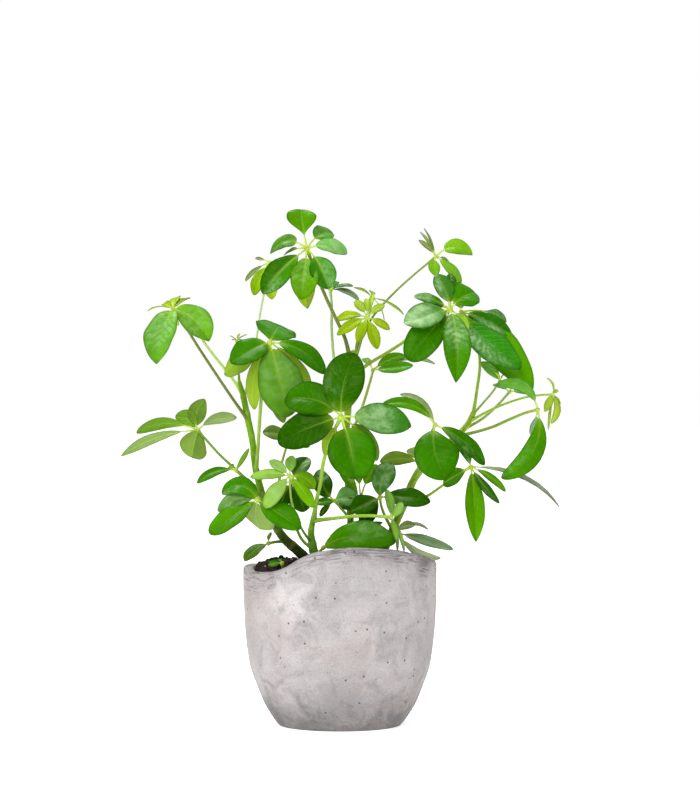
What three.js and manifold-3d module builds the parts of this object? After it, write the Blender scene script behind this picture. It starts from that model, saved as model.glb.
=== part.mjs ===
// A potted umbrella plant (dwarf schefflera) in a cast concrete pot with a waved rim.
// Millimetres, +Z up. The origin is the centre of the pot's foot, on the ground; the plant's front looks along -Y.
//
// Four leaning stems stand in the soil. Each leaf is a long petiole that ends in a hub, from which five to nine
// leaflets spread like the ribs of an umbrella. The leaf table gives every hub and leaflet tip as it stands in
// the frontal plane through the pot's axis, with its depth behind that plane: the sight line from the eye point
// carries it to its real place, so that a leaf keeps its outline from the front at any depth.
import * as THREE from "three";
import { mergeVertices } from "three/addons/utils/BufferGeometryUtils.js";
import Module from "manifold-3d";

const wasm = await Module();
wasm.setup();

// ---- Driving dimensions ----
const EYE = { x: 7.25, distance: 1900, height: 235 }; // eye point of the front view
const FIT_GAP = 0.3; // clearance between pieces that touch on the real plant

const POT = {
  wall: 8, // wall thickness at the lip
  floor: 12, // thickness of the base
  segments: 36,
  // outer profile as [radius, height], from the foot to where the waved rim begins
  profile: [[44, 0], [46.4, 2.5], [50, 7.5], [55, 16], [60.5, 29], [65.5, 43.5], [68.2, 64], [70, 90]],
};
// Height of the lip round the pot: [degrees from +X by way of the front, height]
const RIM = [[0, 118.5], [32, 125], [58, 130], [84, 131.5], [104, 128.5], [115, 123.5], [126, 116.8], [140, 113.3],
  [164, 113], [180, 116], [215, 114], [255, 112], [300, 114], [335, 116]];
const SOIL = {
  drop: 2, // top below the lip's lowest point, at the wall
  mound: 9, // rise at the centre
  heap: { x: -43, y: 6, rise: 4.6, width: 15, depth: 26 }, // on the left
  segments: 24,
};

const BLADE = {
  thickness: 0.8,
  fold: 10, // degrees that each half of a wide blade rises from the midrib
  foldedFrom: 14.5, // width at which a blade gets its fold
  slimBelow: 7.5,
  tipShare: 0.25, // width of the blunt tip
  // sections between the stalk and the tip, as a share of the blade's length
  wideStations: [0.14, 0.45, 0.82],
  midStations: [0.25, 0.75],
  slimStations: [0.5],
};
const STALK = { width: 1.3, thickness: 1.1 }; // leaflet stalk
const HUB_RADIUS = 1.8;
const FUSE_TOLERANCE = 0.06; // slivers below this are closed up where pieces are fused

const COLOURS = {
  concrete: 0xbdb7b3,
  soil: 0x2b1d15,
  stem: 0x5f8a2c,
  matureLeaf: 0x2f7d12,
  midLeaf: 0x4a9a1c,
  youngLeaf: 0xa5c41e,
};

// ---- The stems: points from under the soil to the tip as [x, z, depth, radius] ----
const STEMS = {
  stem_left: [[-15, 99, -4, 3.4], [-23, 117, -5, 3.9], [-31, 126, -6, 3.7], [-40, 134, -7, 3.4], [-47, 144, -8, 2.9],
    [-54, 158, -8, 2.6], [-58, 172, -7, 2.5], [-61.5, 187, -6, 2.4], [-63.5, 205, -4, 2.4], [-67, 222, -2, 2.4],
    [-70, 237, 0, 2.1], [-73, 248, 2, 1.5]],
  stem_front: [[-15, 97, -15, 3], [-17, 116, -16, 3.5], [-19.5, 127, -17, 3.3], [-21, 138, -18, 2.4],
    [-20, 146, -20, 2], [-19, 152, -22, 1.5]],
  stem_middle: [[8, 97, 14, 2.8], [7.5, 118, 13, 2.9], [7.5, 135, 12, 2.6], [7.5, 152, 11, 2.4], [6, 172, 11, 2.4],
    [4, 192, 11, 2.3], [5, 216, 11, 2.3], [7, 240, 10, 2.5], [9, 258, 9, 2.7], [9.5, 269, 8, 2.5]],
  stem_right: [[23, 97, 7, 2.9], [28, 117, 5, 3.1], [34, 131, 3, 3], [41, 147, 1, 2.9], [47, 161, -1, 2.8],
    [53, 176, -3, 2.8], [61, 188, -5, 2.7], [72, 199, -5, 2.4], [83, 207.5, -4, 2.2], [92, 216.5, -2, 2.1],
    [97, 226, 0, 1.8]],
};

// ---- The leaves ----
// hub: where the leaflets meet, [x, z, depth]. crown: the way the umbrella's top looks, as a real direction.
// petiole: points from inside its stem towards the hub. stalk: length of the leaflet stalks.
// lean: how far the whole leaf leans back beyond those depths, with its petiole bent to follow. age: 0 mature to
// 1 young. rooted: the petiole stands in the soil instead of on a stem.
// leaflets: [tip x, tip z, tip depth, width, roll in degrees, sway, arch, stalk], the last four where they differ
// from 0, 0, 0.09 and the leaf's stalk. sway bends the blade sideways in the front view, clockwise from its
// direction, in mm. arch is the rise of the midrib over its chord, as a share of it.
const LEAVES = {
  leaf_top: {
    hub: [-24, 345, 2], lean: -10, crown: [0.1, -0.75, 0.65], stalk: 9, age: 0.35,
    petiole: [[7.5, 264, 8], [3.5, 280, 7], [-3, 294, 6], [-10, 309, 5], [-18, 328, 5]],
    leaflets: [[-28.5, 373, 16, 22, 0, -1], [-50.5, 341, 6, 13, 0, 5.5, 0.09, 7], [-40.5, 340, 20, 6],
      [-56, 312, -8, 20], [-28, 308, -12, 20], [-23.5, 301, 9, 15, 170, 2], [-8.5, 315.5, -6, 20, 0, -1],
      [5, 341, 4, 14, 0, -2, 0.09, 6], [-5, 355.5, 16, 16, 0, -2.5]],
  },
  leaf_top_behind: {
    hub: [-51, 335, 24], lean: 25, crown: [-0.3, -0.6, 0.7], stalk: 6, age: 0.7,
    petiole: [[-70, 236, 0], [-64, 257, 10], [-61, 277, 16], [-58, 297, 20], [-54, 318, 23]],
    leaflets: [[-61.5, 337.5, 26, 4, 80], [-62, 311, 14, 13], [-68.5, 321, 32, 5, 70], [-49, 308, 18, 12],
      [-38, 325, 38, 12]],
  },
  leaf_far_left: {
    hub: [-121, 301, -8], lean: -22, crown: [-0.35, -0.65, 0.65], stalk: 2, age: 0.4,
    petiole: [[-66.5, 220, -2], [-80, 239, -3], [-100, 269, -5], [-112, 288, -7]],
    leaflets: [[-133, 261, -22, 26, 0, 0.5], [-95, 277.5, -20, 21, 0, -3.5], [-139.5, 299.5, 6, 1.6, 60, 1],
      [-109.5, 308.5, 14, 9], [-128, 304.5, 14, 6], [-117, 289, -2, 3.5], [-117, 309.5, 16, 8]],
  },
  leaf_far_left_behind: {
    hub: [-106, 291, 12], lean: 25, crown: [0, -0.5, 0.9], stalk: 5, age: 0.6,
    petiole: [[-71, 240, 0.5], [-78, 250.5, 3], [-92, 268, 8], [-100, 279, 11]],
    leaflets: [[-95, 284, 2, 8], [-103, 300, 32, 8], [-115, 300, 34, 8], [-97, 294, 28, 9]],
  },
  leaf_bud_left: {
    hub: [-75, 278, 7], crown: [0, -0.4, 1], stalk: 1.5, age: 1,
    petiole: [[-73, 247, 2], [-74, 262, 5]],
    leaflets: [[-80, 281.5, 4, 1.8], [-72.5, 283.5, 10, 1.8], [-67.5, 282.5, 8, 1.6], [-78.5, 278.5, 0, 1.8],
      [-71, 278.5, 14, 1.8]],
  },
  leaf_left_upper: {
    hub: [-51, 277, -18], lean: -20, crown: [0.05, -0.7, 0.7], stalk: 6, age: 0.1,
    petiole: [[-61, 182, -6], [-59.5, 200, -10], [-58, 225, -13], [-56, 246, -16], [-53, 264, -18]],
    leaflets: [[-43, 289, 8, 31, 10, 0, 0.09, 2], [-79, 261.5, -30, 23, 0, -0.5, 0.09, 3],
      [-38.5, 222.5, -32, 33, 0, 0.5], [-11, 254, -22, 17, 0, -3], [-21, 246, -8, 15, 170], [-84, 253.5, -6, 22, 180],
      [-62, 228, -4, 12, 180, 4], [-40.5, 218.5, 8, 16, 180, 3]],
  },
  leaf_left_reaching: {
    hub: [-103, 213, 4], lean: 28, crown: [-0.15, 0.9, 0.3], stalk: 9, age: 0.45,
    petiole: [[-57, 169, -7], [-66, 176, -3], [-76, 185, -1], [-87, 195, 1], [-96, 205, 3]],
    leaflets: [[-98, 235.5, 20, 14, 0, -3, 0.09, 5], [-119.5, 222.5, 18, 13, 0, 3, 0.09, 4], [-147.5, 211, -4, 9.5, 0, 5],
      [-159, 194, -12, 8.5, 0, 3, 0.09, 11], [-75, 222, 18, 9, 0, -3, 0.09, 5], [-107.5, 193.5, -12, 22, 0, 0, 0.09, 0.5]],
  },
  leaf_left_small: {
    hub: [-75.5, 184, -14], lean: -10, crown: [-0.2, -0.7, 0.5], stalk: 4, age: 0.3,
    petiole: [[-56, 163, -8], [-66, 174, -13]],
    leaflets: [[-103.5, 174.5, -24, 8.5, 0, 2], [-66, 200, -12, 4, 0, 1, 0.09, 0.5], [-81, 186, 0, 7]],
  },
  leaf_left_low: {
    hub: [-60, 163, -32], lean: -22, crown: [-0.2, -0.75, 0.65], stalk: 3, age: 0.15,
    petiole: [[-47, 142, -8], [-51, 150, -17], [-55, 157, -26]],
    leaflets: [[-85.5, 167, -22, 16, 0, 6, 0.09, 0.5], [-88.5, 154.5, -28, 14, 0, 2], [-94.5, 138, -44, 19, 0, -2],
      [-28.5, 141.5, -44, 19, 0, 1.5], [-58.5, 141.5, -16, 31, 180]],
  },
  leaf_young_left: {
    hub: [-36.5, 180, -44], lean: -12, crown: [0, -0.8, 0.6], stalk: 3, age: 0.75,
    petiole: [[-20.3, 131, -17.2], [-28, 142, -27], [-35, 161, -37]],
    leaflets: [[-51, 191, -38, 8], [-35, 194.5, -36, 8], [-65, 179, -42, 9], [-54.5, 156.5, -50, 12.5],
      [-19.5, 157, -50, 9.5], [-18.5, 170.5, -42, 12, 0, -2]],
  },
  leaf_dark_left: {
    hub: [-35, 176, -22], crown: [0, -0.6, 0.8], stalk: 4, age: 0,
    petiole: [[-19.6, 126.5, -17], [-29, 136, -11], [-36, 158, -14]],
    leaflets: [[-26, 154, -28, 18], [-51, 168, -26, 8], [-23, 193, -12, 14.6], [-43, 158, -28, 14]],
  },
  leaf_lowest_left: {
    hub: [-52, 131, -20], crown: [-0.5, -0.6, 0.6], stalk: 2, age: 0.2,
    petiole: [[-41, 132.5, -7], [-47, 132, -15]],
    leaflets: [[-69, 118, -30, 13], [-50, 139, -14, 3.5]],
  },
  leaf_seedling: {
    hub: [-42, 116.5, -28], crown: [0.1, -0.6, 0.8], stalk: 2, age: 0.15, rooted: true,
    petiole: [[-40, 98, -22], [-41, 108, -25]],
    leaflets: [[-52, 115, -32, 7], [-46, 119, -16, 5]],
  },
  leaf_centre: {
    hub: [1, 223, -48], lean: -28, crown: [0, -0.88, 0.47], stalk: 9, age: 0,
    petiole: [[-19, 149.5, -21], [-17, 162, -26], [-14, 176, -32], [-12, 190, -38], [-7, 207, -44]],
    leaflets: [[11, 268.5, -38, 29, 0, -3, 0.09, 3], [-40, 235, -34, 27, 0, 4, 0.09, 6], [-45, 204.5, -46, 27, 0, -1, 0.09, 6],
      [51.5, 216, -44, 24], [12, 178, -60, 34, 0, -0.5, 0.09, 10], [-11, 195, -34, 11, 180], [27, 191, -30, 13, 180, -2],
      [9, 175, -34, 11, 180]],
  },
  leaf_young_front: {
    hub: [37, 150, -42], crown: [0.4, -0.7, 0.5], stalk: 2, age: 0.8,
    petiole: [[-19.5, 147.5, -20], [-6, 149, -30], [8, 150.5, -36], [22, 151, -40]],
    leaflets: [[33.5, 170, -42, 7.6], [45, 161, -48, 7, 0, 0.5], [41, 133, -50, 6], [46.5, 125, -42, 3.5], [41.5, 125, -38, 3],
      [39, 138, -34, 5]],
  },
  leaf_young_top: {
    hub: [20, 295, 0], crown: [0, -0.8, 0.6], stalk: 4, age: 1,
    petiole: [[11, 265, 7], [12.5, 278, 4], [16, 288, 1]],
    leaflets: [[-3, 293, 10, 8.5, 0, 1], [-2, 282, -4, 9], [13, 276.5, -9, 8], [27, 272, -9, 9], [36, 286, -3, 7],
      [32, 304, 5, 6.5], [11, 307, 6, 7], [19, 308.5, 9, 5], [24, 312, 14, 4]],
  },
  leaf_far_top: {
    hub: [-7, 315, 48], lean: 26, crown: [0.2, -0.4, 0.9], stalk: 2, age: 0.2,
    petiole: [[5.5, 221, 11], [0, 245, 24], [-4, 262, 32], [-6, 285, 40], [-6, 303, 46]],
    leaflets: [[9.5, 317.5, 42, 8], [13.5, 307, 38, 10, 0, -1, 0.09, 3], [-15, 318, 54, 7], [-4, 321, 66, 9]],
  },
  leaf_far_edge: {
    hub: [24, 309, 40], lean: 22, crown: [0.3, 0.2, 1], stalk: 3, age: 0.7,
    petiole: [[9, 256, 10], [16, 280, 26], [21, 296, 35]],
    leaflets: [[10, 316.5, 36, 6], [46, 297, 44, 6], [32, 292.5, 34, 3], [22, 314, 54, 5]],
  },
  leaf_right_top: {
    hub: [69.5, 339, 18], lean: 22, crown: [0.2, -0.8, 0.55], stalk: 4, age: 0.8,
    petiole: [[9, 262, 9], [15, 280, 14], [25, 297, 17], [40, 313.5, 18], [55, 327, 18]],
    leaflets: [[96, 340, 14, 14, 0, -5, 0.09, 7], [88, 320, 10, 9], [70, 325, 8, 9, 0, 2], [79, 335, 28, 3.5],
      [57, 351, 16, 4.5], [61, 359.5, 24, 3.5, 40], [58, 357, 32, 2.5]],
  },
  leaf_right_upper: {
    hub: [80, 301, -14], lean: -30, crown: [0.1, -0.75, 0.65], stalk: 5, age: 0.05,
    petiole: [[8, 250, 9.5], [19, 260, 6], [32, 268, 2], [46, 277, -3], [63, 290, -9]],
    leaflets: [[70.5, 326, -2, 14.6], [80, 326.5, 5, 9.5], [98, 312.5, -4, 25, 0, -1], [54, 310.5, -8, 9],
      [46.5, 291, -24, 23, 0, -2.5, 0.13], [50, 263.5, -26, 25, 0, 0, 0.04], [73, 279, -4, 7],
      [84, 247.5, -38, 20, 0, -2], [93, 286, -8, 9], [58, 303.5, -6, 8]],
  },
  leaf_right_glossy: {
    hub: [88, 299, 3], lean: -10, crown: [0.35, -0.75, 0.55], stalk: 5, age: 0.05,
    petiole: [[96.5, 224, 0], [99, 240, 2], [101.5, 262, 4], [98, 282, 5]],
    leaflets: [[131, 257.5, -26, 32, 0, 8], [124.5, 280.5, 2, 15], [139, 241, -4, 34, 0, 1], [120.5, 292.5, 24, 10, 0, -1.5, 0.09, 17],
      [92, 280, 8, 9, 180], [84, 304, 20, 8]],
  },
  leaf_right_inner: {
    hub: [116, 248.5, 8], lean: 6, crown: [0, -0.4, 1], stalk: 2, age: 0.8,
    petiole: [[95.5, 223.5, 0], [103, 232, 5], [110, 240, 7]],
    leaflets: [[101.5, 262, 2, 8, -60, 0], [118.5, 253, 6, 3], [112.5, 255, -2, 3]],
  },
  leaf_side_middle: {
    hub: [24, 257, 14], lean: 30, crown: [0.1, -0.8, 0.6], stalk: 4, age: 0.3,
    petiole: [[4.5, 198, 11], [9.5, 213, 13], [16.5, 231, 14], [22, 249, 14]],
    leaflets: [[47, 267, 22, 9, 0, -1], [53, 260, 6, 11, 0, 2], [69, 261, 36, 6, 0, -4], [17, 265, 28, 6]],
  },
  leaf_right_hidden: {
    hub: [123, 241, 14], lean: 22, crown: [0.2, -0.5, 0.8], stalk: 3, age: 0.3,
    petiole: [[89, 213, -2.5], [104, 222, 5], [115, 232, 10]],
    leaflets: [[111, 246, 18, 6], [137, 240, 12, 8], [129, 250, 34, 10]],
  },
  leaf_far_right_young: {
    hub: [154, 239, 4], lean: 12, crown: [0.4, -0.6, 0.7], stalk: 1.5, age: 0.85,
    petiole: [[94, 219.5, -1.5], [112, 229, -5], [131, 236, -1], [145, 238.5, 2]],
    leaflets: [[148.5, 226.5, -2, 6], [153, 218, 2, 6, 0, -3], [150, 251, 6, 2, 0, 2], [160, 232, 6, 2.4], [151, 213, 10, 2.4, 0, 2],
      [158, 242, 12, 3]],
  },
  leaf_far_right: {
    hub: [143.5, 228, -8], lean: -30, crown: [0.5, -0.9, 0.4], stalk: 5, age: 0.25,
    petiole: [[85, 208.5, -4], [108, 214.5, -6], [122, 220.5, -7], [134, 225.5, -8]],
    leaflets: [[117, 178.5, -20, 16, 0, -10, 0.05], [139, 210, 2, 8, 0, 1], [113, 245.5, -12, 10, 0, 7]],
  },
  leaf_right_low: {
    hub: [95, 186.5, -20], lean: -24, crown: [0.3, -0.7, 0.6], stalk: 5, age: 0.2,
    petiole: [[46, 158.5, -1], [56, 162, -8], [66, 167, -13], [80, 177, -18]],
    leaflets: [[84, 206, -2, 9.5, 0, 0, 0.09, 2], [75, 175, -8, 15, 0, -2], [98.5, 132, -36, 15, 0, 1.5],
      [115.5, 160, -34, 8, 0, 3], [120, 168.5, -28, 7], [159, 157.5, 4, 5, 0, -4]],
  },
  leaf_right_middle: {
    hub: [69, 217, -28], lean: -22, crown: [-0.05, -0.75, 0.65], stalk: 5, age: 0.15,
    petiole: [[56, 181, -4], [59, 194, -10], [64, 207, -19]],
    leaflets: [[30.5, 231.5, -26, 10, 0, 5], [43.5, 239, -14, 6, 0, 4, 0.09, 3], [77, 177.5, -48, 32, 0, 4.5],
      [105, 188.5, -8, 15, 0, 0]],
  },
  leaf_right_behind: {
    hub: [58, 189, 14], lean: 26, crown: [0, -0.8, 0.5], stalk: 4, age: 0.4,
    petiole: [[57, 182.5, -4], [58, 187, 6]],
    leaflets: [[29, 190, 10, 12, 0, 2], [72, 201, 26, 13], [52, 200, 34, 12]],
  },
  leaf_middle_low: {
    hub: [29, 164.5, -24], crown: [0, -0.75, 0.65], stalk: 3, age: 0,
    petiole: [[38, 141, 2], [33, 150, -10], [30, 158, -18]],
    leaflets: [[38, 189, -16, 17, 0, -2.5, 0.09, 1], [65.5, 161, -30, 17, 0, 0.5], [8, 154, -32, 17, 0, -1], [16, 144, -22, 14]],
  },
  leaf_low_front: {
    hub: [-12, 128, -30], crown: [0, -0.75, 0.65], stalk: 3, age: 0.05,
    petiole: [[-18.5, 123, -16], [-15, 125, -24]],
    leaflets: [[40, 131.5, -39, 26, 0, -3, 0.12, 0.5], [31, 146, -32, 8]],
  },
  leaf_dark_middle: {
    hub: [-4, 162, -12], crown: [0, -0.7, 0.7], stalk: 4, age: 0,
    petiole: [[7.5, 147, 11.5], [4.5, 152, 3]],
    leaflets: [[-14, 184.5, -12, 15, 0, -4], [12.5, 164.5, -11, 19, 0, 0, 0.09, 1], [10, 157, -18, 12], [-14.5, 150.5, -12, 5],
      [-18, 160.5, -15, 8, 0, -1, 0.09, 1]],
  },
  leaf_olive_middle: {
    hub: [15, 163, 4], lean: -6, crown: [0, -0.7, 0.7], stalk: 12, age: 0.4,
    petiole: [[7.5, 150, 11], [11, 156, 8]],
    leaflets: [[12, 190, 8, 8], [27, 188, 8, 11, 0, -1], [-2, 193, 6, 9, 0, -2, 0.09, 4]],
  },
  leaf_back_left: {
    hub: [-37, 207, 12], lean: 32, crown: [-0.1, -0.7, 0.7], stalk: 4, age: 0.4,
    petiole: [[-50.5, 150, -8], [-45, 172, 0], [-42, 190, 6]],
    leaflets: [[-56, 211.5, 8, 14, 0, 0, 0.09, 1], [-30, 222, 24, 13], [-22, 202, 18, 13]],
  },
  leaf_low_right: {
    hub: [41, 139, 14], lean: 16, crown: [0.1, -0.8, 0.6], stalk: 6, age: 0.45,
    petiole: [[33, 128, 3.5], [36, 134, 9]],
    leaflets: [[54.5, 144, 6, 7.6, 0, -1.5, 0.09, 3], [64, 141, 22, 3, 0, -4], [82, 126.5, 6, 9, 0, 2], [73, 120.5, 34, 7.6, 0, 8]],
  },
};

// ---- Solids ----

// The real place of a point that is seen in the frontal plane at x and z and lies that deep behind it.
function seen([x, z, depth]) {
  const reach = 1 + depth / EYE.distance;
  return new THREE.Vector3(EYE.x + (x - EYE.x) * reach, depth, EYE.height + (z - EYE.height) * reach);
}

// A geometry with shared vertices from points and triangles.
function geometryOf(points, triangles) {
  const geometry = new THREE.BufferGeometry();
  geometry.setAttribute("position", new THREE.Float32BufferAttribute(points.flatMap((p) => [p.x, p.y, p.z]), 3));
  geometry.setIndex(triangles.flat());
  return geometry;
}

function solidOf(geometry) {
  const bare = geometry.clone();
  bare.deleteAttribute("normal");
  bare.deleteAttribute("uv");
  const merged = mergeVertices(bare, 1e-4);
  const mesh = new wasm.Mesh({
    numProp: 3,
    vertProperties: new Float32Array(merged.attributes.position.array),
    triVerts: new Uint32Array(merged.index.array),
  });
  const solid = new wasm.Manifold(mesh);
  return solid;
}

function geometryFrom(solid) {
  const mesh = solid.getMesh();
  const geometry = new THREE.BufferGeometry();
  geometry.setAttribute("position", new THREE.BufferAttribute(mesh.vertProperties, 3));
  geometry.setIndex(new THREE.BufferAttribute(mesh.triVerts, 1));
  geometry.computeVertexNormals();
  return geometry;
}

const fused = (solids) => solids.reduce((whole, piece) => whole.add(piece));

// A closed skin over rings of equal count, one after the other, with a flat fan over each end.
function loft(rings) {
  const count = rings[0].length;
  const points = rings.flat();
  const triangles = [];
  for (let r = 0; r + 1 < rings.length; r++) {
    for (let i = 0; i < count; i++) {
      const j = (i + 1) % count;
      const [a, b] = [r * count + i, r * count + j];
      triangles.push([a, b, b + count], [a, b + count, a + count]);
    }
  }
  const last = (rings.length - 1) * count;
  for (let i = 1; i + 1 < count; i++) {
    triangles.push([0, i + 1, i], [last, last + i, last + i + 1]);
  }
  return geometryOf(points, triangles);
}

// A tapering rod along points. grow widens it and lengthens both ends.
function rod(points, radii, sides, steps, grow = 0) {
  const curve = new THREE.CatmullRomCurve3(points);
  const chord = points[points.length - 1].clone().sub(points[0]);
  const reference = Math.abs(chord.y) < 0.7 * chord.length() ? new THREE.Vector3(0, 1, 0) : new THREE.Vector3(1, 0, 0);
  const rings = [];
  for (let s = 0; s <= steps; s++) {
    const t = s / steps;
    const along = curve.getTangent(t);
    const across = new THREE.Vector3().crossVectors(reference, along).normalize();
    const out = new THREE.Vector3().crossVectors(along, across);
    const place = t * (radii.length - 1);
    const k = Math.min(Math.floor(place), radii.length - 2);
    const radius = grow + THREE.MathUtils.lerp(radii[k], radii[k + 1], place - k);
    const centre = curve.getPoint(t);
    if (s === 0) centre.addScaledVector(along, -grow);
    if (s === steps) centre.addScaledVector(along, grow);
    const ring = [];
    for (let i = 0; i < sides; i++) {
      const turn = (2 * Math.PI * i) / sides;
      ring.push(centre.clone()
        .addScaledVector(across, radius * Math.cos(turn))
        .addScaledVector(out, radius * Math.sin(turn)));
    }
    rings.push(ring);
  }
  return solidOf(loft(rings));
}

// Width of a blade at t along it, as a share of its greatest width: wedge-shaped base, blunt tip.
function bladeShare(t) {
  return Math.max(Math.sin(Math.PI * t ** 1.12), 0) ** 0.6;
}

// One leaflet in one skin: a square stalk out of the hub, then the blade along the arched midrib.
// A wide blade is folded along its midrib, a narrow one is flat. Both faces share one way of cutting the quads.
function leaflet(hub, crown, leafStalk, [x, z, depth, width, roll = 0, sway = 0, arch = 0.09, stalk = leafStalk]) {
  const tip = seen([x, z, depth]);
  const chord = tip.clone().sub(hub);
  const length = chord.length();
  const along = chord.clone().normalize();
  const up = crown.clone().addScaledVector(along, -crown.dot(along)).normalize();
  const across = new THREE.Vector3(chord.z, 0, -chord.x).normalize();
  const middle = hub.clone().add(tip).multiplyScalar(0.5)
    .addScaledVector(up, 2 * arch * length)
    .addScaledVector(across, 2 * sway);
  const rib = new THREE.QuadraticBezierCurve3(hub, middle, tip);
  const face = up.clone().applyAxisAngle(along, THREE.MathUtils.degToRad(roll));
  const start = Math.min(stalk / length, 0.4);
  const folded = width >= BLADE.foldedFrom;
  const stations = folded ? BLADE.wideStations : width >= BLADE.slimBelow ? BLADE.midStations : BLADE.slimStations;

  const rows = [[0, STALK.width, STALK.thickness, 0], [start, STALK.width, STALK.thickness, 0]];
  for (const t of stations) {
    rows.push([start + (1 - start) * t, width * bladeShare(t), BLADE.thickness, folded ? BLADE.fold : 0]);
  }
  rows.push([1, Math.max(BLADE.tipShare * width, 0.9), BLADE.thickness, 0]);

  const columns = folded ? [-1, 0, 1] : [-1, 1];
  const top = [];
  const bottom = [];
  for (const [s, span, thickness, foldDegrees] of rows) {
    const fold = THREE.MathUtils.degToRad(foldDegrees);
    const tangent = rib.getTangent(s);
    const side = new THREE.Vector3().crossVectors(tangent, face).normalize();
    const normal = new THREE.Vector3().crossVectors(side, tangent);
    for (const c of columns) {
      const point = rib.getPoint(s)
        .addScaledVector(side, ((c * span) / 2) * Math.cos(fold))
        .addScaledVector(normal, ((Math.abs(c) * span) / 2) * Math.sin(fold));
      top.push(point.clone().addScaledVector(normal, thickness / 2));
      bottom.push(point.clone().addScaledVector(normal, -thickness / 2));
    }
  }
  const n = columns.length;
  const under = top.length;
  const triangles = [];
  for (let r = 0; r + 1 < rows.length; r++) {
    for (let c = 0; c + 1 < n; c++) {
      const a = r * n + c;
      triangles.push([a, a + 1, a + 1 + n], [a, a + 1 + n, a + n]);
      triangles.push([under + a, under + a + 1 + n, under + a + 1], [under + a, under + a + n, under + a + 1 + n]);
    }
    const [left, right] = [r * n, r * n + n - 1];
    triangles.push([left, left + n, under + left + n], [left, under + left + n, under + left]);
    triangles.push([right, under + right + n, right + n], [right, under + right, under + right + n]);
  }
  const end = (rows.length - 1) * n;
  for (let c = 0; c + 1 < n; c++) {
    triangles.push([c, under + c, under + c + 1], [c, under + c + 1, c + 1]);
    triangles.push([end + c, under + end + c + 1, under + end + c], [end + c, end + c + 1, under + end + c + 1]);
  }
  return solidOf(geometryOf([...top, ...bottom], triangles));
}

const leant = ([x, z, depth, ...rest], lean) => [x, z, depth + lean, ...rest];

function petioleRod({ hub, petiole, age, lean = 0 }, grow = 0) {
  const foot = age > 0.6 ? 1.1 : 1.4;
  const points = [...petiole, hub].map((point, i) => seen(leant(point, (lean * i) / petiole.length)));
  return rod(points, [foot, 0.95], 4, points.length, grow);
}

function leafSolid(leaf) {
  const { lean = 0 } = leaf;
  const centre = seen(leant(leaf.hub, lean));
  const look = new THREE.Vector3(...leaf.crown).normalize();
  const knob = solidOf(new THREE.IcosahedronGeometry(HUB_RADIUS, 0).translate(centre.x, centre.y, centre.z));
  const blades = leaf.leaflets.map((entry) => leaflet(centre, look, leaf.stalk, leant(entry, lean)));
  return fused([knob, petioleRod(leaf), ...blades]).simplify(FUSE_TOLERANCE);
}

const stemRod = (points, grow = 0) => rod(points.map(seen), points.map((p) => p[3]), 8, points.length + 3, grow);

// Lip height at an angle, by a closed cubic through the RIM points.
function rimHeight(degrees) {
  const at = ((degrees % 360) + 360) % 360;
  const count = RIM.length;
  let k = count - 1;
  while (RIM[k][0] > at) k--;
  const [p0, p1, p2, p3] = [-1, 0, 1, 2].map((d) => {
    const turn = Math.floor((k + d) / count);
    const [angle, height] = RIM[(k + d + count) % count];
    return [angle + 360 * turn, height];
  });
  const t = (at - p1[0]) / (p2[0] - p1[0]);
  const step = p2[0] - p1[0];
  const m1 = ((p2[1] - p0[1]) / (p2[0] - p0[0])) * step;
  const m2 = ((p3[1] - p1[1]) / (p3[0] - p1[0])) * step;
  return (2 * t ** 3 - 3 * t ** 2 + 1) * p1[1] + (t ** 3 - 2 * t ** 2 + t) * m1
    + (-2 * t ** 3 + 3 * t ** 2) * p2[1] + (t ** 3 - t ** 2) * m2;
}

// A ring round the pot's axis. The angle runs from +X by way of the front, so the loft turns its faces by flip.
function ringOf(segments, radiusAt, heightAt) {
  return Array.from({ length: segments }, (_, i) => {
    const degrees = (-360 * i) / segments;
    const turn = THREE.MathUtils.degToRad(degrees);
    const radius = radiusAt(degrees);
    return new THREE.Vector3(radius * Math.cos(turn), -radius * Math.sin(turn), heightAt(degrees));
  });
}

const POT_TOP_RADIUS = POT.profile[POT.profile.length - 1][0];

// Radius of the pot's outside at a height.
function outerRadius(height) {
  const rows = POT.profile;
  if (height >= rows[rows.length - 1][1]) return POT_TOP_RADIUS;
  const k = rows.findIndex(([, z]) => z > height) - 1;
  const [[r0, z0], [r1, z1]] = [rows[k], rows[k + 1]];
  return THREE.MathUtils.lerp(r0, r1, (height - z0) / (z1 - z0));
}

function potSolid() {
  const { wall, floor, segments, profile } = POT;
  const inner = POT_TOP_RADIUS - wall;
  const rings = profile.map(([r, z]) => ringOf(segments, () => r, () => z));
  const lip = (r, drop) => ringOf(segments, () => r, (d) => rimHeight(d) - drop);
  rings.push(lip(POT_TOP_RADIUS, 2.2), lip(POT_TOP_RADIUS - 1.4, 0.4), lip(inner + 2.2, 0), lip(inner, 2));
  for (const z of [88, 44, floor + 8]) rings.push(ringOf(segments, () => outerRadius(z) - wall, () => z));
  rings.push(ringOf(segments, () => outerRadius(floor) - wall - 6, () => floor));
  return solidOf(loft(rings));
}

// Rough ground: a mound with clods, by a fixed sum of waves.
function soilHeight(x, y) {
  const lowest = Math.min(...RIM.map(([, z]) => z));
  const out = Math.hypot(x, y) / (POT_TOP_RADIUS - POT.wall);
  const clods = 0.9 * Math.sin(0.31 * x + 1.3) * Math.cos(0.27 * y) + 0.7 * Math.sin(0.53 * (x - y) + 0.6);
  const { heap } = SOIL;
  const heaped = heap.rise * Math.exp(-(((x - heap.x) / heap.width) ** 2) - ((y - heap.y) / heap.depth) ** 2);
  return lowest - SOIL.drop + SOIL.mound * (1 - out ** 2) + clods + heaped;
}

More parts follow.
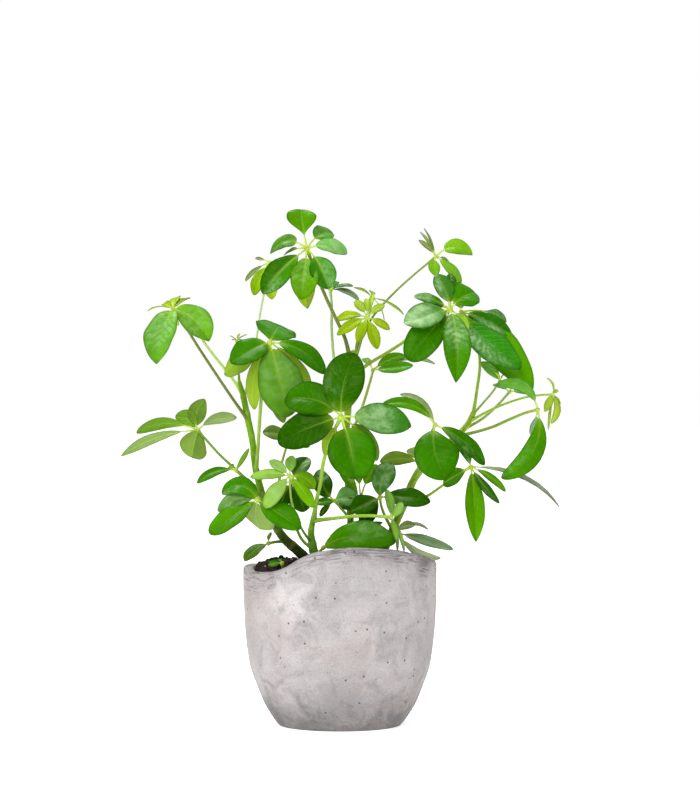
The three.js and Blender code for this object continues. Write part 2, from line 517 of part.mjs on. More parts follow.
function soilSolid(holes) {
  const inside = (z) => outerRadius(z) - POT.wall - FIT_GAP;
  const { segments } = SOIL;
  const base = POT.floor + FIT_GAP;
  const rings = [ringOf(segments, () => outerRadius(POT.floor) - POT.wall - 6.5, () => base)];
  for (const z of [base + 8, 44, 88]) rings.push(ringOf(segments, () => inside(z) - 2 * FIT_GAP, () => z));
  for (const share of [1, 0.75, 0.45, 0.15]) {
    const radius = share * inside(100) - 2 * FIT_GAP;
    const ring = ringOf(segments, () => radius, () => 0);
    ring.forEach((p) => { p.z = soilHeight(p.x, p.y); });
    rings.push(ring);
  }
  return holes.reduce((ground, hole) => ground.subtract(hole), solidOf(loft(rings)));
}

// ---- Assembly ----

function material(color, roughness) {
  return new THREE.MeshStandardMaterial({ color, roughness, metalness: 0 });
}

function leafColour(age) {
  const [mature, mid, young] = [COLOURS.matureLeaf, COLOURS.midLeaf, COLOURS.youngLeaf].map((c) => new THREE.Color(c));
  return age < 0.5 ? mature.lerp(mid, age * 2) : mid.lerp(young, age * 2 - 1);
}

const plant = new THREE.Group();
function place(name, solid, finish) {
  const mesh = new THREE.Mesh(geometryFrom(solid), finish);
  mesh.name = name;
  plant.add(mesh);
}

const stems = Object.values(STEMS);
const stemRoom = stems.map((points) => stemRod(points, FIT_GAP));
const petioleRoom = Object.values(LEAVES).filter((leaf) => leaf.rooted).map((leaf) => petioleRod(leaf, FIT_GAP));

place("pot", potSolid(), material(COLOURS.concrete, 0.85));
place("soil", soilSolid([...stemRoom, ...petioleRoom]), material(COLOURS.soil, 1));
for (const [name, points] of Object.entries(STEMS)) {
  place(name, stemRod(points), material(COLOURS.stem, 0.55));
}
for (const [name, leaf] of Object.entries(LEAVES)) {
  const solid = stemRoom.reduce((rest, room) => rest.subtract(room), leafSolid(leaf));
  place(name, solid, material(leafColour(leaf.age), 0.35));
}

export default plant;
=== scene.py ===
# Potted umbrella plant: a waved concrete pot, its soil, four green stems and their palmate leaves.
import bpy, functools, math, random
from mathutils import Matrix, Vector, kdtree, noise


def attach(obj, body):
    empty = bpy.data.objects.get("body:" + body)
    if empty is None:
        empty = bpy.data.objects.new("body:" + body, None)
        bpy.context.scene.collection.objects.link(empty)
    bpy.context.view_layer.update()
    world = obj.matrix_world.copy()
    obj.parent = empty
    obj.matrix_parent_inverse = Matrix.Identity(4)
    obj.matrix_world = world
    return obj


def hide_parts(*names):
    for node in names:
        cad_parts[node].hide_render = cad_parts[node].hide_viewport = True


mm = 0.001

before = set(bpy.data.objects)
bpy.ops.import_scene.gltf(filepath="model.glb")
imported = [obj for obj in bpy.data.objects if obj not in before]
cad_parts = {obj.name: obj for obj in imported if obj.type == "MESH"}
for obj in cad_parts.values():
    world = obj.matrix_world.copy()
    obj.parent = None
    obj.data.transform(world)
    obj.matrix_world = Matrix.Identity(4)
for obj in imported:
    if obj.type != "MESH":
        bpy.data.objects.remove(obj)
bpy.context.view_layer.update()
print("frame loaded:", len(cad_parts), "nodes")


# the linear colour that the nodes take, from an sRGB hex text or from a share of white
def linearColour(tone):
    if not isinstance(tone, str):
        return (tone, tone, tone, 1)

    def channel(start):
        value = int(tone[start:start + 2], 16) / 255
        return value / 12.92 if value <= 0.04045 else ((value + 0.055) / 1.055) ** 2.4
    return (channel(1), channel(3), channel(5), 1)


def mixed(a, b, share):
    return tuple(x + (y - x) * share for x, y in zip(a, b))


def smoothStep(low, high, value):
    t = min(max((value - low) / (high - low), 0), 1)
    return t * t * (3 - 2 * t)


# one node with its settings and its inputs, in their order or by name. A node or socket is linked, a hex text is a
# colour, any other value is set, and stops are a ramp's. MapRange takes the value, its range and the new range.
def addNode(tree, kind, *inputs, **settings):
    node = tree.nodes.new("ShaderNode" + kind)
    for name, value in settings.items():
        if name != "stops":
            setattr(node, name, value)
            continue
        elements = node.color_ramp.elements
        while len(elements) < len(value):
            elements.new(0.5)
        for element, (place, tone) in zip(elements, value):
            element.position = place
            element.color = linearColour(tone)
    if inputs and isinstance(inputs[0], dict):
        named = inputs[0]
    else:
        named = dict(zip([k for k, socket in enumerate(node.inputs) if socket.enabled], inputs))
    for key, value in named.items():
        if isinstance(value, bpy.types.Node):
            value = next(socket for socket in value.outputs if socket.enabled)
        if isinstance(value, bpy.types.NodeSocket):
            tree.links.new(value, node.inputs[key])
        else:
            node.inputs[key].default_value = linearColour(value) if isinstance(value, str) else value
    return node


smooth = {"interpolation_type": "SMOOTHSTEP"}
tinted = {"data_type": "RGBA", "blend_type": "MULTIPLY"}


# an empty material, and addNode for its tree
def startMaterial(name):
    material = bpy.data.materials.new(name)
    material.use_nodes = True
    material.node_tree.nodes.clear()
    return material, functools.partial(addNode, material.node_tree)


def deselectAll():
    if bpy.context.mode != "OBJECT":
        bpy.ops.object.mode_set(mode="OBJECT")
    bpy.ops.object.select_all(action="DESELECT")


def makeActive(piece):
    deselectAll()
    piece.select_set(True)
    bpy.context.view_layer.objects.active = piece


def joinPieces(pieces, name):
    deselectAll()
    for piece in pieces:
        piece.select_set(True)
    bpy.context.view_layer.objects.active = pieces[0]
    if len(pieces) > 1:
        bpy.ops.object.join()
    pieces[0].name = name
    pieces[0].data.name = name
    return pieces[0]


# a round route through points by Catmull and Rom's curve
def smoothRoute(points, steps):
    ends = [points[0] * 2 - points[1]] + list(points) + [points[-1] * 2 - points[-2]]
    route = []
    for k in range(len(points) - 1):
        a, b, c, d = ends[k:k + 4]
        for i in range(steps):
            t = i / steps
            route.append(0.5 * ((2 * b) + (c - a) * t + (2 * a - 5 * b + 4 * c - d) * t * t
                                + (3 * b - a - 3 * c + d) * t ** 3))
    return route + [points[-1].copy()]


# closed tubes along strands of (points in mm, radii in mm, colours), as one mesh with its colours in leafTone
def addTubes(name, strands, roundness=2):
    curve = bpy.data.curves.new(name, "CURVE")
    curve.dimensions = "3D"
    curve.bevel_depth = mm
    curve.bevel_resolution = roundness
    curve.use_fill_caps = True
    for points, radii, colours in strands:
        spline = curve.splines.new("POLY")
        spline.points.add(len(points) - 1)
        for spot, place, radius in zip(spline.points, points, radii):
            spot.co = (*(place * mm), 1)
            spot.radius = radius
        spline.use_smooth = True
    tubes = bpy.data.objects.new(name, curve)
    bpy.context.collection.objects.link(tubes)
    makeActive(tubes)
    bpy.ops.object.convert(target="MESH")
    tubes = bpy.context.view_layer.objects.active
    # each vertex takes the colour of the nearest point of a strand
    spots = [(place * mm, colour) for points, radii, colours in strands for place, colour in zip(points, colours)]
    nearest = kdtree.KDTree(len(spots))
    for k, (place, colour) in enumerate(spots):
        nearest.insert(place, k)
    nearest.balance()
    tone = tubes.data.color_attributes.new("leafTone", "FLOAT_COLOR", "POINT")
    for vertex in tubes.data.vertices:
        tone.data[vertex.index].color = spots[nearest.find(vertex.co)[1]][1]
    return tubes


# The camera: level and square to the plant, 1.9 m off.
# Places seen in the front view are given in the plane through the pot's axis, with their depth behind it.
cameraSettings = {
    "eye": Vector((7.25, -1900, 235)),
    "frameHeight": 580.3,  # what the picture's height covers at the pot's axis
}


# the real place of a point seen in that plane at x and z, lying that deep behind it
def seen(x, z, depth):
    eye = cameraSettings["eye"]
    reach = 1 + depth / -eye.y
    return Vector((eye.x + (x - eye.x) * reach, depth, eye.z + (z - eye.z) * reach))


def makeCamera():
    data = bpy.data.cameras.new("camera")
    data.sensor_width = 36
    data.lens = 36 * -cameraSettings["eye"].y / cameraSettings["frameHeight"]
    data.clip_end = 60
    camera = bpy.data.objects.new("camera", data)
    camera.location = cameraSettings["eye"] * mm
    camera.rotation_euler = (math.pi / 2, 0, 0)
    bpy.context.collection.objects.link(camera)
    bpy.context.scene.camera = camera
    bpy.context.scene.view_settings.view_transform = "Standard"


stageSettings = {
    "tableSize": 40,  # in m
    "tableGlow": 0.6,
    "backdropLight": 1.0,  # what the camera sees behind the plant
    "horizonLight": 0.3,  # what lights the plant from the sides
    "skyLight": 0.8,  # and from above
    "horizonGleam": 0.04,  # the same, as seen in reflections
    "skyGleam": 1.4,
    # name: place in m, side in m, power in W
    "lights": {
        "overheadLight": ((-0.35, 0.5, 1.7), 0.9, 26),
        "frontLight": ((-0.5, -1.7, 1.3), 1.0, 22),
    },
}


# white photo table: matt, with a little glow, so that it burns out to white
def makeTableMaterial():
    material, add = startMaterial("whitePhotoTable")
    shader = add("BsdfPrincipled", {"Base Color": "#fafafa", "Roughness": 0.9, "Emission Color": "#ffffff",
        "Emission Strength": stageSettings["tableGlow"]})
    add("OutputMaterial", shader)
    return material


def makeStage():
    deselectAll()
    bpy.ops.mesh.primitive_plane_add(size=stageSettings["tableSize"], location=(0, 0, 0))
    table = bpy.context.object
    table.name = "photoTable"
    table.data.materials.append(makeTableMaterial())
    for name, (place, side, power) in stageSettings["lights"].items():
        light = bpy.data.lights.new(name, "AREA")
        light.size = side
        light.energy = power
        lamp = bpy.data.objects.new(name, light)
        lamp.location = place
        lamp.rotation_euler = (Vector((0, 0, 0.2)) - Vector(place)).to_track_quat("-Z", "Y").to_euler()
        bpy.context.collection.objects.link(lamp)
    world = bpy.data.worlds.new("studio")
    world.use_nodes = True
    world.node_tree.nodes.clear()
    add = functools.partial(addNode, world.node_tree)
    ray = add("LightPath")
    # the room is lit from above and dimmer towards the horizon, and only a big overhead softbox shows in reflections
    toSky = add("SeparateXYZ", add("TexCoord").outputs["Generated"])
    height = toSky.outputs["Z"]
    room = add("MapRange", height, 0.0, 0.8, stageSettings["horizonLight"], stageSettings["skyLight"], **smooth)
    softbox = add("MapRange", height, 0.35, 0.75, stageSettings["horizonGleam"], stageSettings["skyGleam"], **smooth)
    strength = add("Mix", ray.outputs["Is Glossy Ray"], room, softbox, data_type="FLOAT")
    strength = add("Mix", ray.outputs["Is Camera Ray"], strength, stageSettings["backdropLight"], data_type="FLOAT")
    add("OutputWorld", add("Background", "#ffffff", strength))
    bpy.context.scene.world = world


makeCamera()
makeStage()
print("camera and stage made")


potSettings = {
    "radius": 70,
    "wall": 8,
    "sides": 180,
    # its outside and, from the lip down, its inside, as (radius, height) before the rim is waved
    "outside": [(44, 0), (46.4, 2.5), (50, 7.5), (55, 16), (60.5, 29), (65.5, 43.5), (68.2, 64), (70, 90), (70, 117)],
    "inside": [(62, 117), (62, 110), (62, 96), (61.5, 84), (58, 44), (47, 20), (38, 12), (0, 12)],
    "rimHeight": 120,
    "lipRise": 3,  # of its rounding
    "waveFrom": 90,  # height at which the rim's wave begins
    "wander": 0.35,  # how far the hand-cast wall strays
    "lipWander": 0.4,  # and its lip, up and down
    # lip height round the pot: (degrees from +X by way of the front, height)
    "rim": [(0, 118.5), (32, 125), (58, 130), (84, 131.5), (104, 128.5), (115, 123.5), (126, 116.8),
            (140, 113.3), (164, 113), (180, 116), (215, 114), (255, 112), (300, 114), (335, 116)],
    # stains, and painted shade that darkens the pot's left and right edges, as (place, radius, colour, strength,
    # streaky)
    "stainsAndEdgeShade": [((60, -36, 117), 15, "#4a3a42", 0.9, True), ((36, -62, 126), 13, "#6a666a", 0.5, True),
               ((14, -72, 128), 10, "#4a464c", 0.6, True), ((4, -74, 119), 16, "#99958f", 0.3, False),
               # the grey spots at (-68, -26, 92), (-67, -26, 66) and (66, -28, 60) are painted shade that darkens the
               # pot's sides
               ((-36, -62, 94), 32, "#ccc7c7", 0.65, False), ((-68, -26, 92), 17, "#8f8982", 0.8, False),
               ((-67, -26, 66), 24, "#958e8a", 0.7, False), ((8, -70, 50), 28, "#9a9595", 0.5, False),
               ((-56, -42, 106), 22, "#85858a", 0.3, False), ((66, -28, 60), 26, "#98938f", 0.5, False),
               ((4, -58, 24), 24, "#7f7c7d", 0.5, False), ((-40, -55, 72), 20, "#b3a5a2", 0.6, False)],
}


# closed cubic through the rim's points
def rimHeight(degrees):
    rim = potSettings["rim"]
    at = degrees % 360
    last = max(k for k in range(len(rim)) if rim[k][0] <= at)
    spots = []
    for step in (-1, 0, 1, 2):
        turn, k = divmod(last + step, len(rim))
        spots.append((rim[k][0] + 360 * turn, rim[k][1]))
    (a0, h0), (a1, h1), (a2, h2), (a3, h3) = spots
    t = (at - a1) / (a2 - a1)
    slope1 = (h2 - h0) / (a2 - a0) * (a2 - a1)
    slope2 = (h3 - h1) / (a3 - a1) * (a2 - a1)
    return ((2 * t ** 3 - 3 * t ** 2 + 1) * h1 + (t ** 3 - 2 * t ** 2 + t) * slope1
            + (3 * t ** 2 - 2 * t ** 3) * h2 + (t ** 3 - t ** 2) * slope2)


# cast concrete: matt, faintly cloudy and lilac grey, trowelled under the lip, darker at the foot, with fine sand, air
# holes, a few stains and painted shade at its left and right edges
def makeConcrete():
    material, add = startMaterial("castConcrete")
    place = add("TexCoord").outputs["Object"]
    axes = add("SeparateXYZ", place)
    drop = add("Attribute", attribute_name="belowLip").outputs["Fac"]  # in mm

    # 1 in the middle of a spot on the wall, 0 beyond its radius in mm
    def nearSpot(centre, radius):
        away = add("VectorMath", place, [c * mm for c in centre], operation="DISTANCE")
        return add("MapRange", away.outputs["Value"], 0.0, radius * mm, 1.0, 0.0, **smooth)

    clouds = add("TexNoise", {
        "Vector": place, "Scale": 1 / (38 * mm), "Detail": 6, "Roughness": 0.58, "Distortion": 0.5})
    body = add("ValToRGB", clouds, stops=[(0.34, "#a7a4a4"), (0.44, "#afabab"), (0.55, "#b5b0b0"), (0.66, "#b5adac")])
    # patches where the slurry dried greyer or warmer
    patches = add("TexNoise", {
        "Vector": place, "Scale": 1 / (13 * mm), "Detail": 5, "Roughness": 0.65, "Distortion": 0.8})
    patchShade = add("ValToRGB", patches, stops=[(0.34, "#e6e4e4"), (0.5, "#f8f6f5"), (0.66, "#ffffff")])
    body = add("Mix", 1.0, body, patchShade, **tinted)
    # trowel streaks that run along the lip, 1.2 mm high and 13 mm long, within 18 mm of it
    alongX, alongY = [add("Math", axes.outputs[side], 1 / (13 * mm), operation="MULTIPLY") for side in "XY"]
    down = add("Math", drop, 1 / 1.2, operation="MULTIPLY")
    streakPlace = add("CombineXYZ", alongX, alongY, down)
    streaks = add("TexNoise", {
        "Vector": streakPlace, "Scale": 1.0, "Detail": 5, "Roughness": 0.66, "Distortion": 0.7})
    streakShade = add("ValToRGB", streaks, stops=[
        (0.36, "#6f6a70"), (0.44, "#b8b4b6"), (0.5, "#eeecec"), (0.62, "#ffffff")])
    waver = add("Math", clouds, -34.0, drop, operation="MULTIPLY_ADD")
    nearLip = add("MapRange", waver, -14.0, 1.0, 0.62, 0.03, **smooth)
    body = add("Mix", nearLip, body, streakShade, **tinted)
    # right below the lip they are denser, most of all on the right
    dense = add("MapRange", waver, -13.0, -5.0, 0.7, 0.0, **smooth)
    rightward = add("MapRange", axes.outputs["X"], -40 * mm, 15 * mm, 0.15, 1.0, **smooth)
    dense = add("Math", dense, rightward, operation="MULTIPLY")
    denseShade = add("ValToRGB", streaks, stops=[(0.4, "#6a666c"), (0.46, "#b4b0b3"), (0.52, "#fbf9f9")])
    body = add("Mix", dense, body, denseShade, **tinted)
    # a greyer band below the lip
    band = add("MapRange", waver, -15.0, -1.0, 0.16, 0.0, **smooth)
    body = add("Mix", band, body, "#8e8a90", data_type="RGBA")
    # the foot is darker, with a cloudy edge
    sway = add("Math", patches, 0.05, axes.outputs["Z"], operation="MULTIPLY_ADD")
    level = add("Math", sway, 120 * mm, operation="DIVIDE")
    foot = add("ValToRGB", level, stops=[(0.24, 0.48), (0.36, 0.68), (0.5, 0.88), (0.7, 0.97), (0.9, 1)])
    body = add("Mix", 1.0, body, foot, **tinted)
    # stains: brown at the lip on the right, grey along it, one lighter place and a pinkish one; and painted shade,
    # grey at the left and right edges
    for centre, radius, stainAndShadeTone, strength, streaky in potSettings["stainsAndEdgeShade"]:
        share = add("Math", nearSpot(centre, radius), strength, operation="MULTIPLY")
        ragged = add("ValToRGB", streaks if streaky else patches, stops=[(0.4, 0.1), (0.56, 1)])
        share = add("Math", share, ragged, operation="MULTIPLY")
        body = add("Mix", share, body, stainAndShadeTone, data_type="RGBA")
    specks = add("TexNoise", {"Vector": place, "Scale": 1 / (1.0 * mm), "Detail": 2, "Roughness": 0.6})
    speckShade = add("ValToRGB", specks, stops=[(0.28, 0.7), (0.45, 0.95), (0.75, 1.03)])
    body = add("Mix", 1.0, body, speckShade, **tinted)
    # air holes: the hearts of a few cells, 7 mm apart and 1.6 mm wide, and a cluster of small ones
    hole = None
    for spacing, least, heartEnd, spot in ((7, 0.42, 0.13, None), (2.6, 0.45, 0.3, nearSpot((1.5, -69.5, 79), 7))):
        cells = add("TexVoronoi", {"Vector": place, "Scale": 1 / (spacing * mm)})
        cellShade = add("SeparateColor", cells.outputs["Color"])
        rare = add("Math", cellShade, least, operation="GREATER_THAN")
        heart = add("ValToRGB", cells, stops=[(heartEnd * 0.55, 1), (heartEnd, 0)])
        pit = add("Math", rare, heart, operation="MULTIPLY")
        if spot:
            pit = add("Math", pit, spot, operation="MULTIPLY")
            pit = add("Math", pit, hole, operation="MAXIMUM")
        hole = pit
    holeShade = add("Math", hole, 0.85, operation="MULTIPLY")
    body = add("Mix", holeShade, body, "#3f3a39", data_type="RGBA")
    grain = add("TexNoise", {"Vector": place, "Scale": 1 / (2.4 * mm), "Detail": 6, "Roughness": 0.65})
    relief = add("Math", hole, -2.0, grain, operation="MULTIPLY_ADD")
    trowelled = add("Math", streaks, nearLip, operation="MULTIPLY")
    relief = add("Math", trowelled, 1.5, relief, operation="MULTIPLY_ADD")
    bump = add("Bump", {"Strength": 0.55, "Distance": 0.35 * mm, "Height": relief})
    shader = add("BsdfPrincipled", {"Base Color": body, "Roughness": 0.88, "Normal": bump, "Specular IOR Level": 0.3})
    add("OutputMaterial", shader)
    return material


# half section of the pot as (radius, height), from the middle of its underside round the lip to the inner floor
def potSection():
    wall, top = potSettings["wall"], potSettings["rimHeight"] - potSettings["lipRise"]
    outside = smoothRoute([Vector((r, 0, z)) for r, z in potSettings["outside"]], 8)
    section = [(0, 0), (20, 0)] + [(p.x, p.z) for p in outside]
    for step in range(1, 12):  # the rounded lip
        turn = math.pi * step / 12
        section.append((potSettings["radius"] - wall / 2 + wall / 2 * math.cos(turn),
                        top + potSettings["lipRise"] * math.sin(turn)))
    return section + potSettings["inside"]


def makePot():
    section = potSection()
    deselectAll()
    bpy.ops.mesh.primitive_plane_add(size=mm, location=(0, 0, 0))
    pot = bpy.context.object
    pot.data.clear_geometry()
    pot.data.from_pydata([(r * mm, 0, z * mm) for r, z in section], [(k, k + 1) for k in range(len(section) - 1)], [])
    bpy.ops.object.mode_set(mode="EDIT")
    bpy.ops.mesh.select_all(action="SELECT")
    bpy.ops.mesh.spin(steps=potSettings["sides"], angle=math.tau, center=(0, 0, 0), axis=(0, 0, 1))
    bpy.ops.mesh.select_all(action="SELECT")
    bpy.ops.mesh.remove_doubles(threshold=0.02 * mm)
    bpy.ops.mesh.normals_make_consistent(inside=False)
    bpy.ops.object.mode_set(mode="OBJECT")
    waveFrom, rim = potSettings["waveFrom"], potSettings["rimHeight"]
    belowLip = pot.data.attributes.new("belowLip", "FLOAT", "POINT")
    for vertex in pot.data.vertices:
        x, y, z = vertex.co / mm
        out = Vector((x, y, 0)).normalized()
        lip = rimHeight(math.degrees(math.atan2(-y, x)))
        if z > waveFrom:
            z += (lip - rim) * min((z - waveFrom) / (rim - 5 - waveFrom), 1)
        belowLip.data[vertex.index].value = lip - z
        if z > 0.5:
            spot = Vector((x, y, z)) + out * potSettings["wander"] * noise.noise(Vector((x, y, z)) / 26)
            spot.z += potSettings["lipWander"] * noise.noise(Vector((x + 90, y, z)) / 18) * smoothStep(105, 112, z)
            vertex.co = spot * mm
    makeActive(pot)
    bpy.ops.object.shade_smooth_by_angle(angle=math.radians(50))
    pot.name = "concretePot"
    pot.data.materials.append(makeConcrete())
    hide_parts("pot")
    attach(pot, "root")


makePot()
print("pot made")


soilSettings = {
    "radius": 61.2,
    "wallHeight": 110,
    "mound": 9,
    "heap": {"x": -50, "y": 6, "rise": 5.8, "width": 19, "depth": 26},  # on the left
    "rings": 26,
    "ringStep": 2.2,
    "depth": 20,
    "bitReach": 59.5,
    # loose bits: material, dark and light colour, count, sizes, flatness, seed
    "bits": {
        "soilCrumbs": ("barkCrumb", "#120a06", "#4b3323", 620, (0.5, 1.8), 0.5, 11),
        "paleGrit": ("limeGrit", "#b9ab98", "#e2d9ca", 60, (0.4, 0.9), 0.6, 12),
    },
}


# the ground's height: a mound with clods
def soilHeight(x, y, roughness=1.7):
    out = math.hypot(x, y) / (potSettings["radius"] - potSettings["wall"])
    clods = 0.9 * math.sin(0.31 * x + 1.3) * math.cos(0.27 * y) + 0.7 * math.sin(0.53 * (x - y) + 0.6)
    rough = roughness * noise.fractal(Vector((x, y, 4)) / 6, 0.7, 2.1, 4)
    heap = soilSettings["heap"]
    heaped = heap["rise"] * math.exp(-((x - heap["x"]) / heap["width"]) ** 2 - ((y - heap["y"]) / heap["depth"]) ** 2)
    return soilSettings["wallHeight"] + soilSettings["mound"] * (1 - out ** 2) + clods + heaped + rough


# peaty potting mix: dark, matt and crumbly; the same makes its crumbs of bark and pale grit
def makeSoilMaterial(name, dark, light):
    material, add = startMaterial(name)
    place = add("TexCoord").outputs["Object"]
    clumps = add("TexNoise", {"Vector": place, "Scale": 1 / (3.5 * mm), "Detail": 6, "Roughness": 0.7})
    colour = add("ValToRGB", clumps, stops=[(0.35, dark), (0.7, light)])
    bump = add("Bump", {"Strength": 0.8, "Distance": 0.8 * mm, "Height": clumps})
    shader = add("BsdfPrincipled", {
        "Base Color": colour, "Roughness": 0.95, "Specular IOR Level": 0.2, "Normal": bump})
    add("OutputMaterial", shader)
    return material


def makeSoil():
    deselectAll()
    bpy.ops.mesh.primitive_circle_add(
        vertices=96, radius=soilSettings["radius"] * mm, fill_type="NGON", location=(0, 0, 0))
    soil = bpy.context.object
    bpy.ops.object.mode_set(mode="EDIT")
    bpy.ops.mesh.select_mode(type="FACE")
    bpy.ops.mesh.select_all(action="SELECT")
    for ring in range(soilSettings["rings"]):
        bpy.ops.mesh.inset(thickness=soilSettings["ringStep"] * mm)
    bpy.ops.object.mode_set(mode="OBJECT")
    for vertex in soil.data.vertices:
        x, y, z = vertex.co / mm
        vertex.co.z = soilHeight(x, y) * mm
    # sides and underside, hidden in the pot
    bpy.ops.object.mode_set(mode="EDIT")
    bpy.ops.mesh.select_all(action="SELECT")
    bpy.ops.mesh.region_to_loop()
    bpy.ops.mesh.extrude_edges_move(TRANSFORM_OT_translate={"value": (0, 0, -soilSettings["depth"] * mm)})
    bpy.ops.mesh.edge_face_add()
    bpy.ops.mesh.select_all(action="SELECT")
    bpy.ops.mesh.normals_make_consistent(inside=False)
    bpy.ops.object.mode_set(mode="OBJECT")
    bpy.ops.object.shade_smooth_by_angle(angle=math.radians(60))
    soil.name = "pottingSoil"
    soil.data.materials.append(makeSoilMaterial("peatyPottingMix", "#0c0604", "#33211a"))
    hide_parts("soil")
    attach(soil, "root")


# crumbs of bark, or pale grit, scattered over the soil
def scatterBits(name, count, sizes, flatness, material, seed):
    rng = random.Random(seed)
    deselectAll()
    bpy.ops.mesh.primitive_ico_sphere_add(subdivisions=1, radius=mm, location=(0, 0, 0))
    pattern = bpy.context.object
    bits = []
    for k in range(count):
        reach = soilSettings["bitReach"] * math.sqrt(rng.random())
        turn = rng.uniform(0, math.tau)
        x, y = reach * math.cos(turn), reach * math.sin(turn)
        size = rng.uniform(*sizes)
        bit = pattern.copy()
        bit.data = pattern.data.copy()
        bpy.context.collection.objects.link(bit)
        for vertex in bit.data.vertices:
            vertex.co *= rng.uniform(0.75, 1.25)
        shape = Matrix.Diagonal((size * rng.uniform(0.8, 1.5), size, size * rng.uniform(flatness, 0.9), 1))
        turned = Matrix.Rotation(rng.uniform(0, math.tau), 4, "Z") @ Matrix.Rotation(rng.uniform(-0.6, 0.6), 4, "X")
        spot = Vector((x, y, soilHeight(x, y) + size * 0.25)) * mm
        bit.data.transform(Matrix.Translation(spot) @ turned @ shape)
        bits.append(bit)
    bpy.data.objects.remove(pattern)
    piece = joinPieces(bits, name)
    piece.data.materials.append(material)
    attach(piece, "root")


makeSoil()
for name, (finish, dark, light, count, sizes, flatness, seed) in soilSettings["bits"].items():
    scatterBits(name, count, sizes, flatness, makeSoilMaterial(finish, dark, light), seed)
print("soil made")


# the stems from under the soil to the tip: x, z, depth, radius
stemPlan = {
    "stem_left": [[-15, 99, -4, 3.4], [-23, 117, -5, 3.9], [-31, 126, -6, 3.7], [-40, 134, -7, 3.4],
        [-47, 144, -8, 2.9], [-54, 158, -8, 2.6], [-58, 172, -7, 2.5], [-61.5, 187, -6, 2.4], [-63.5, 205, -4, 2.4],
        [-67, 222, -2, 2.4], [-70, 237, 0, 2.1], [-73, 248, 2, 1.5]],
    "stem_front": [[-15, 97, -15, 3], [-17, 116, -16, 3.5], [-19.5, 127, -17, 3.3], [-21, 138, -18, 2.4],
        [-20, 146, -20, 2], [-19, 152, -22, 1.5]],
    "stem_middle": [[8, 97, 14, 2.8], [7.5, 118, 13, 2.9], [7.5, 135, 12, 2.6], [7.5, 152, 11, 2.4],
        [6, 172, 11, 2.4], [4, 192, 11, 2.3], [5, 216, 11, 2.3], [7, 240, 10, 2.5], [9, 258, 9, 2.7],
        [9.5, 269, 8, 2.5]],
    "stem_right": [[23, 97, 7, 2.9], [28, 117, 5, 3.1], [34, 131, 3, 3], [41, 147, 1, 2.9], [47, 161, -1, 2.8],
        [53, 176, -3, 2.8], [61, 188, -5, 2.7], [72, 199, -5, 2.4], [83, 207.5, -4, 2.2], [92, 216.5, -2, 2.1],
        [97, 226, 0, 1.8]],
}

stemSettings = {
    "nodeSpacing": 13,  # between the rings that old leaves left
    "ringRise": 0.32,
    "ringWidth": 1.1,
    "ringColour": "#a8aa60",
    "lumps": 0.12,
    # bark colours by height
    "tones": {
        "stem_left": [(118, "#2c340a"), (132, "#3d4c0c"), (150, "#4f7a10"), (190, "#64960c"), (240, "#74a010")],
        "stem_front": [(120, "#4a7010"), (130, "#6aa31e"), (150, "#84b426")],
        "stem_middle": [(118, "#3c5210"), (150, "#5f8c18"), (240, "#7da01e")],
        "stem_right": [(118, "#4a6a14"), (145, "#6f9a16"), (185, "#86a826"), (225, "#94b02e")],
    },
}


def toneAt(tones, place):
    if place <= tones[0][0]:
        return linearColour(tones[0][1])
    for (low, a), (high, b) in zip(tones, tones[1:]):
        if place <= high:
            return mixed(linearColour(a), linearColour(b), (place - low) / (high - low))
    return linearColour(tones[-1][1])


# young schefflera stem: smooth green bark, brown and corky at the foot, with pale corky spots and ringed scars
def makeStemSkin():
    material, add = startMaterial("greenStemBark")
    place = add("TexCoord").outputs["Object"]
    tone = add("Attribute", attribute_name="leafTone").outputs["Color"]
    patches = add("TexNoise", {"Vector": place, "Scale": 1 / (4 * mm), "Detail": 5, "Roughness": 0.6})
    shade = add("ValToRGB", patches, stops=[(0.3, 0.62), (0.62, 1)])
    colour = add("Mix", 1.0, tone, shade, **tinted)
    spots = add("TexVoronoi", {"Vector": place, "Scale": 1 / (2.2 * mm)})
    spotMask = add("ValToRGB", spots, stops=[(0.1, 0.4), (0.2, 0)])
    colour = add("Mix", spotMask, colour, "#8f8a55", data_type="RGBA")
    bump = add("Bump", {"Strength": 0.5, "Distance": 0.3 * mm, "Height": patches})
    shader = add("BsdfPrincipled", {
        "Base Color": colour, "Roughness": 0.5, "Normal": bump, "Specular IOR Level": 0.12})
    add("OutputMaterial", shader)
    return material


def makeStem(node, plan, material):
    rng = random.Random(node)
    route = smoothRoute([seen(x, z, depth) for x, z, depth, radius in plan], 10)
    widths = smoothRoute([Vector((radius, 0, 0)) for x, z, depth, radius in plan], 10)
    radii, colours = [], []
    travelled, nextRing = 0, 6
    rings = []
    total = sum((b - a).length for a, b in zip(route, route[1:]))
    while nextRing < total:
        rings.append(nextRing)
        nextRing += stemSettings["nodeSpacing"] * rng.uniform(0.7, 1.35)
    for k, spot in enumerate(route):
        if k:
            travelled += (spot - route[k - 1]).length
        rise = sum(math.exp(-((travelled - ring) / stemSettings["ringWidth"]) ** 2) for ring in rings)
        radii.append(widths[k].x + stemSettings["ringRise"] * rise + stemSettings["lumps"] * noise.noise(spot / 5))
        colour = toneAt(stemSettings["tones"][node], spot.z)
        colours.append(mixed(colour, linearColour(stemSettings["ringColour"]), min(rise, 1) * 0.3))
    # a rounded end
    onward = (route[-1] - route[-2]).normalized()
    for reach, share in ((0.5, 0.87), (0.8, 0.6), (1, 0.15)):
        route.append(route[len(widths) - 1] + onward * radii[len(widths) - 1] * reach)
        radii.append(radii[len(widths) - 1] * share)
        colours.append(colours[-1])
    stem = addTubes(node + "_bark", [(route, radii, colours)], roundness=5)
    makeActive(stem)
    bpy.ops.object.shade_smooth_by_angle(angle=math.radians(60))
    stem.data.materials.append(material)
    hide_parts(node)
    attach(stem, "root")


stemSkin = makeStemSkin()
for node, plan in stemPlan.items():
    makeStem(node, plan, stemSkin)
print("stems made")
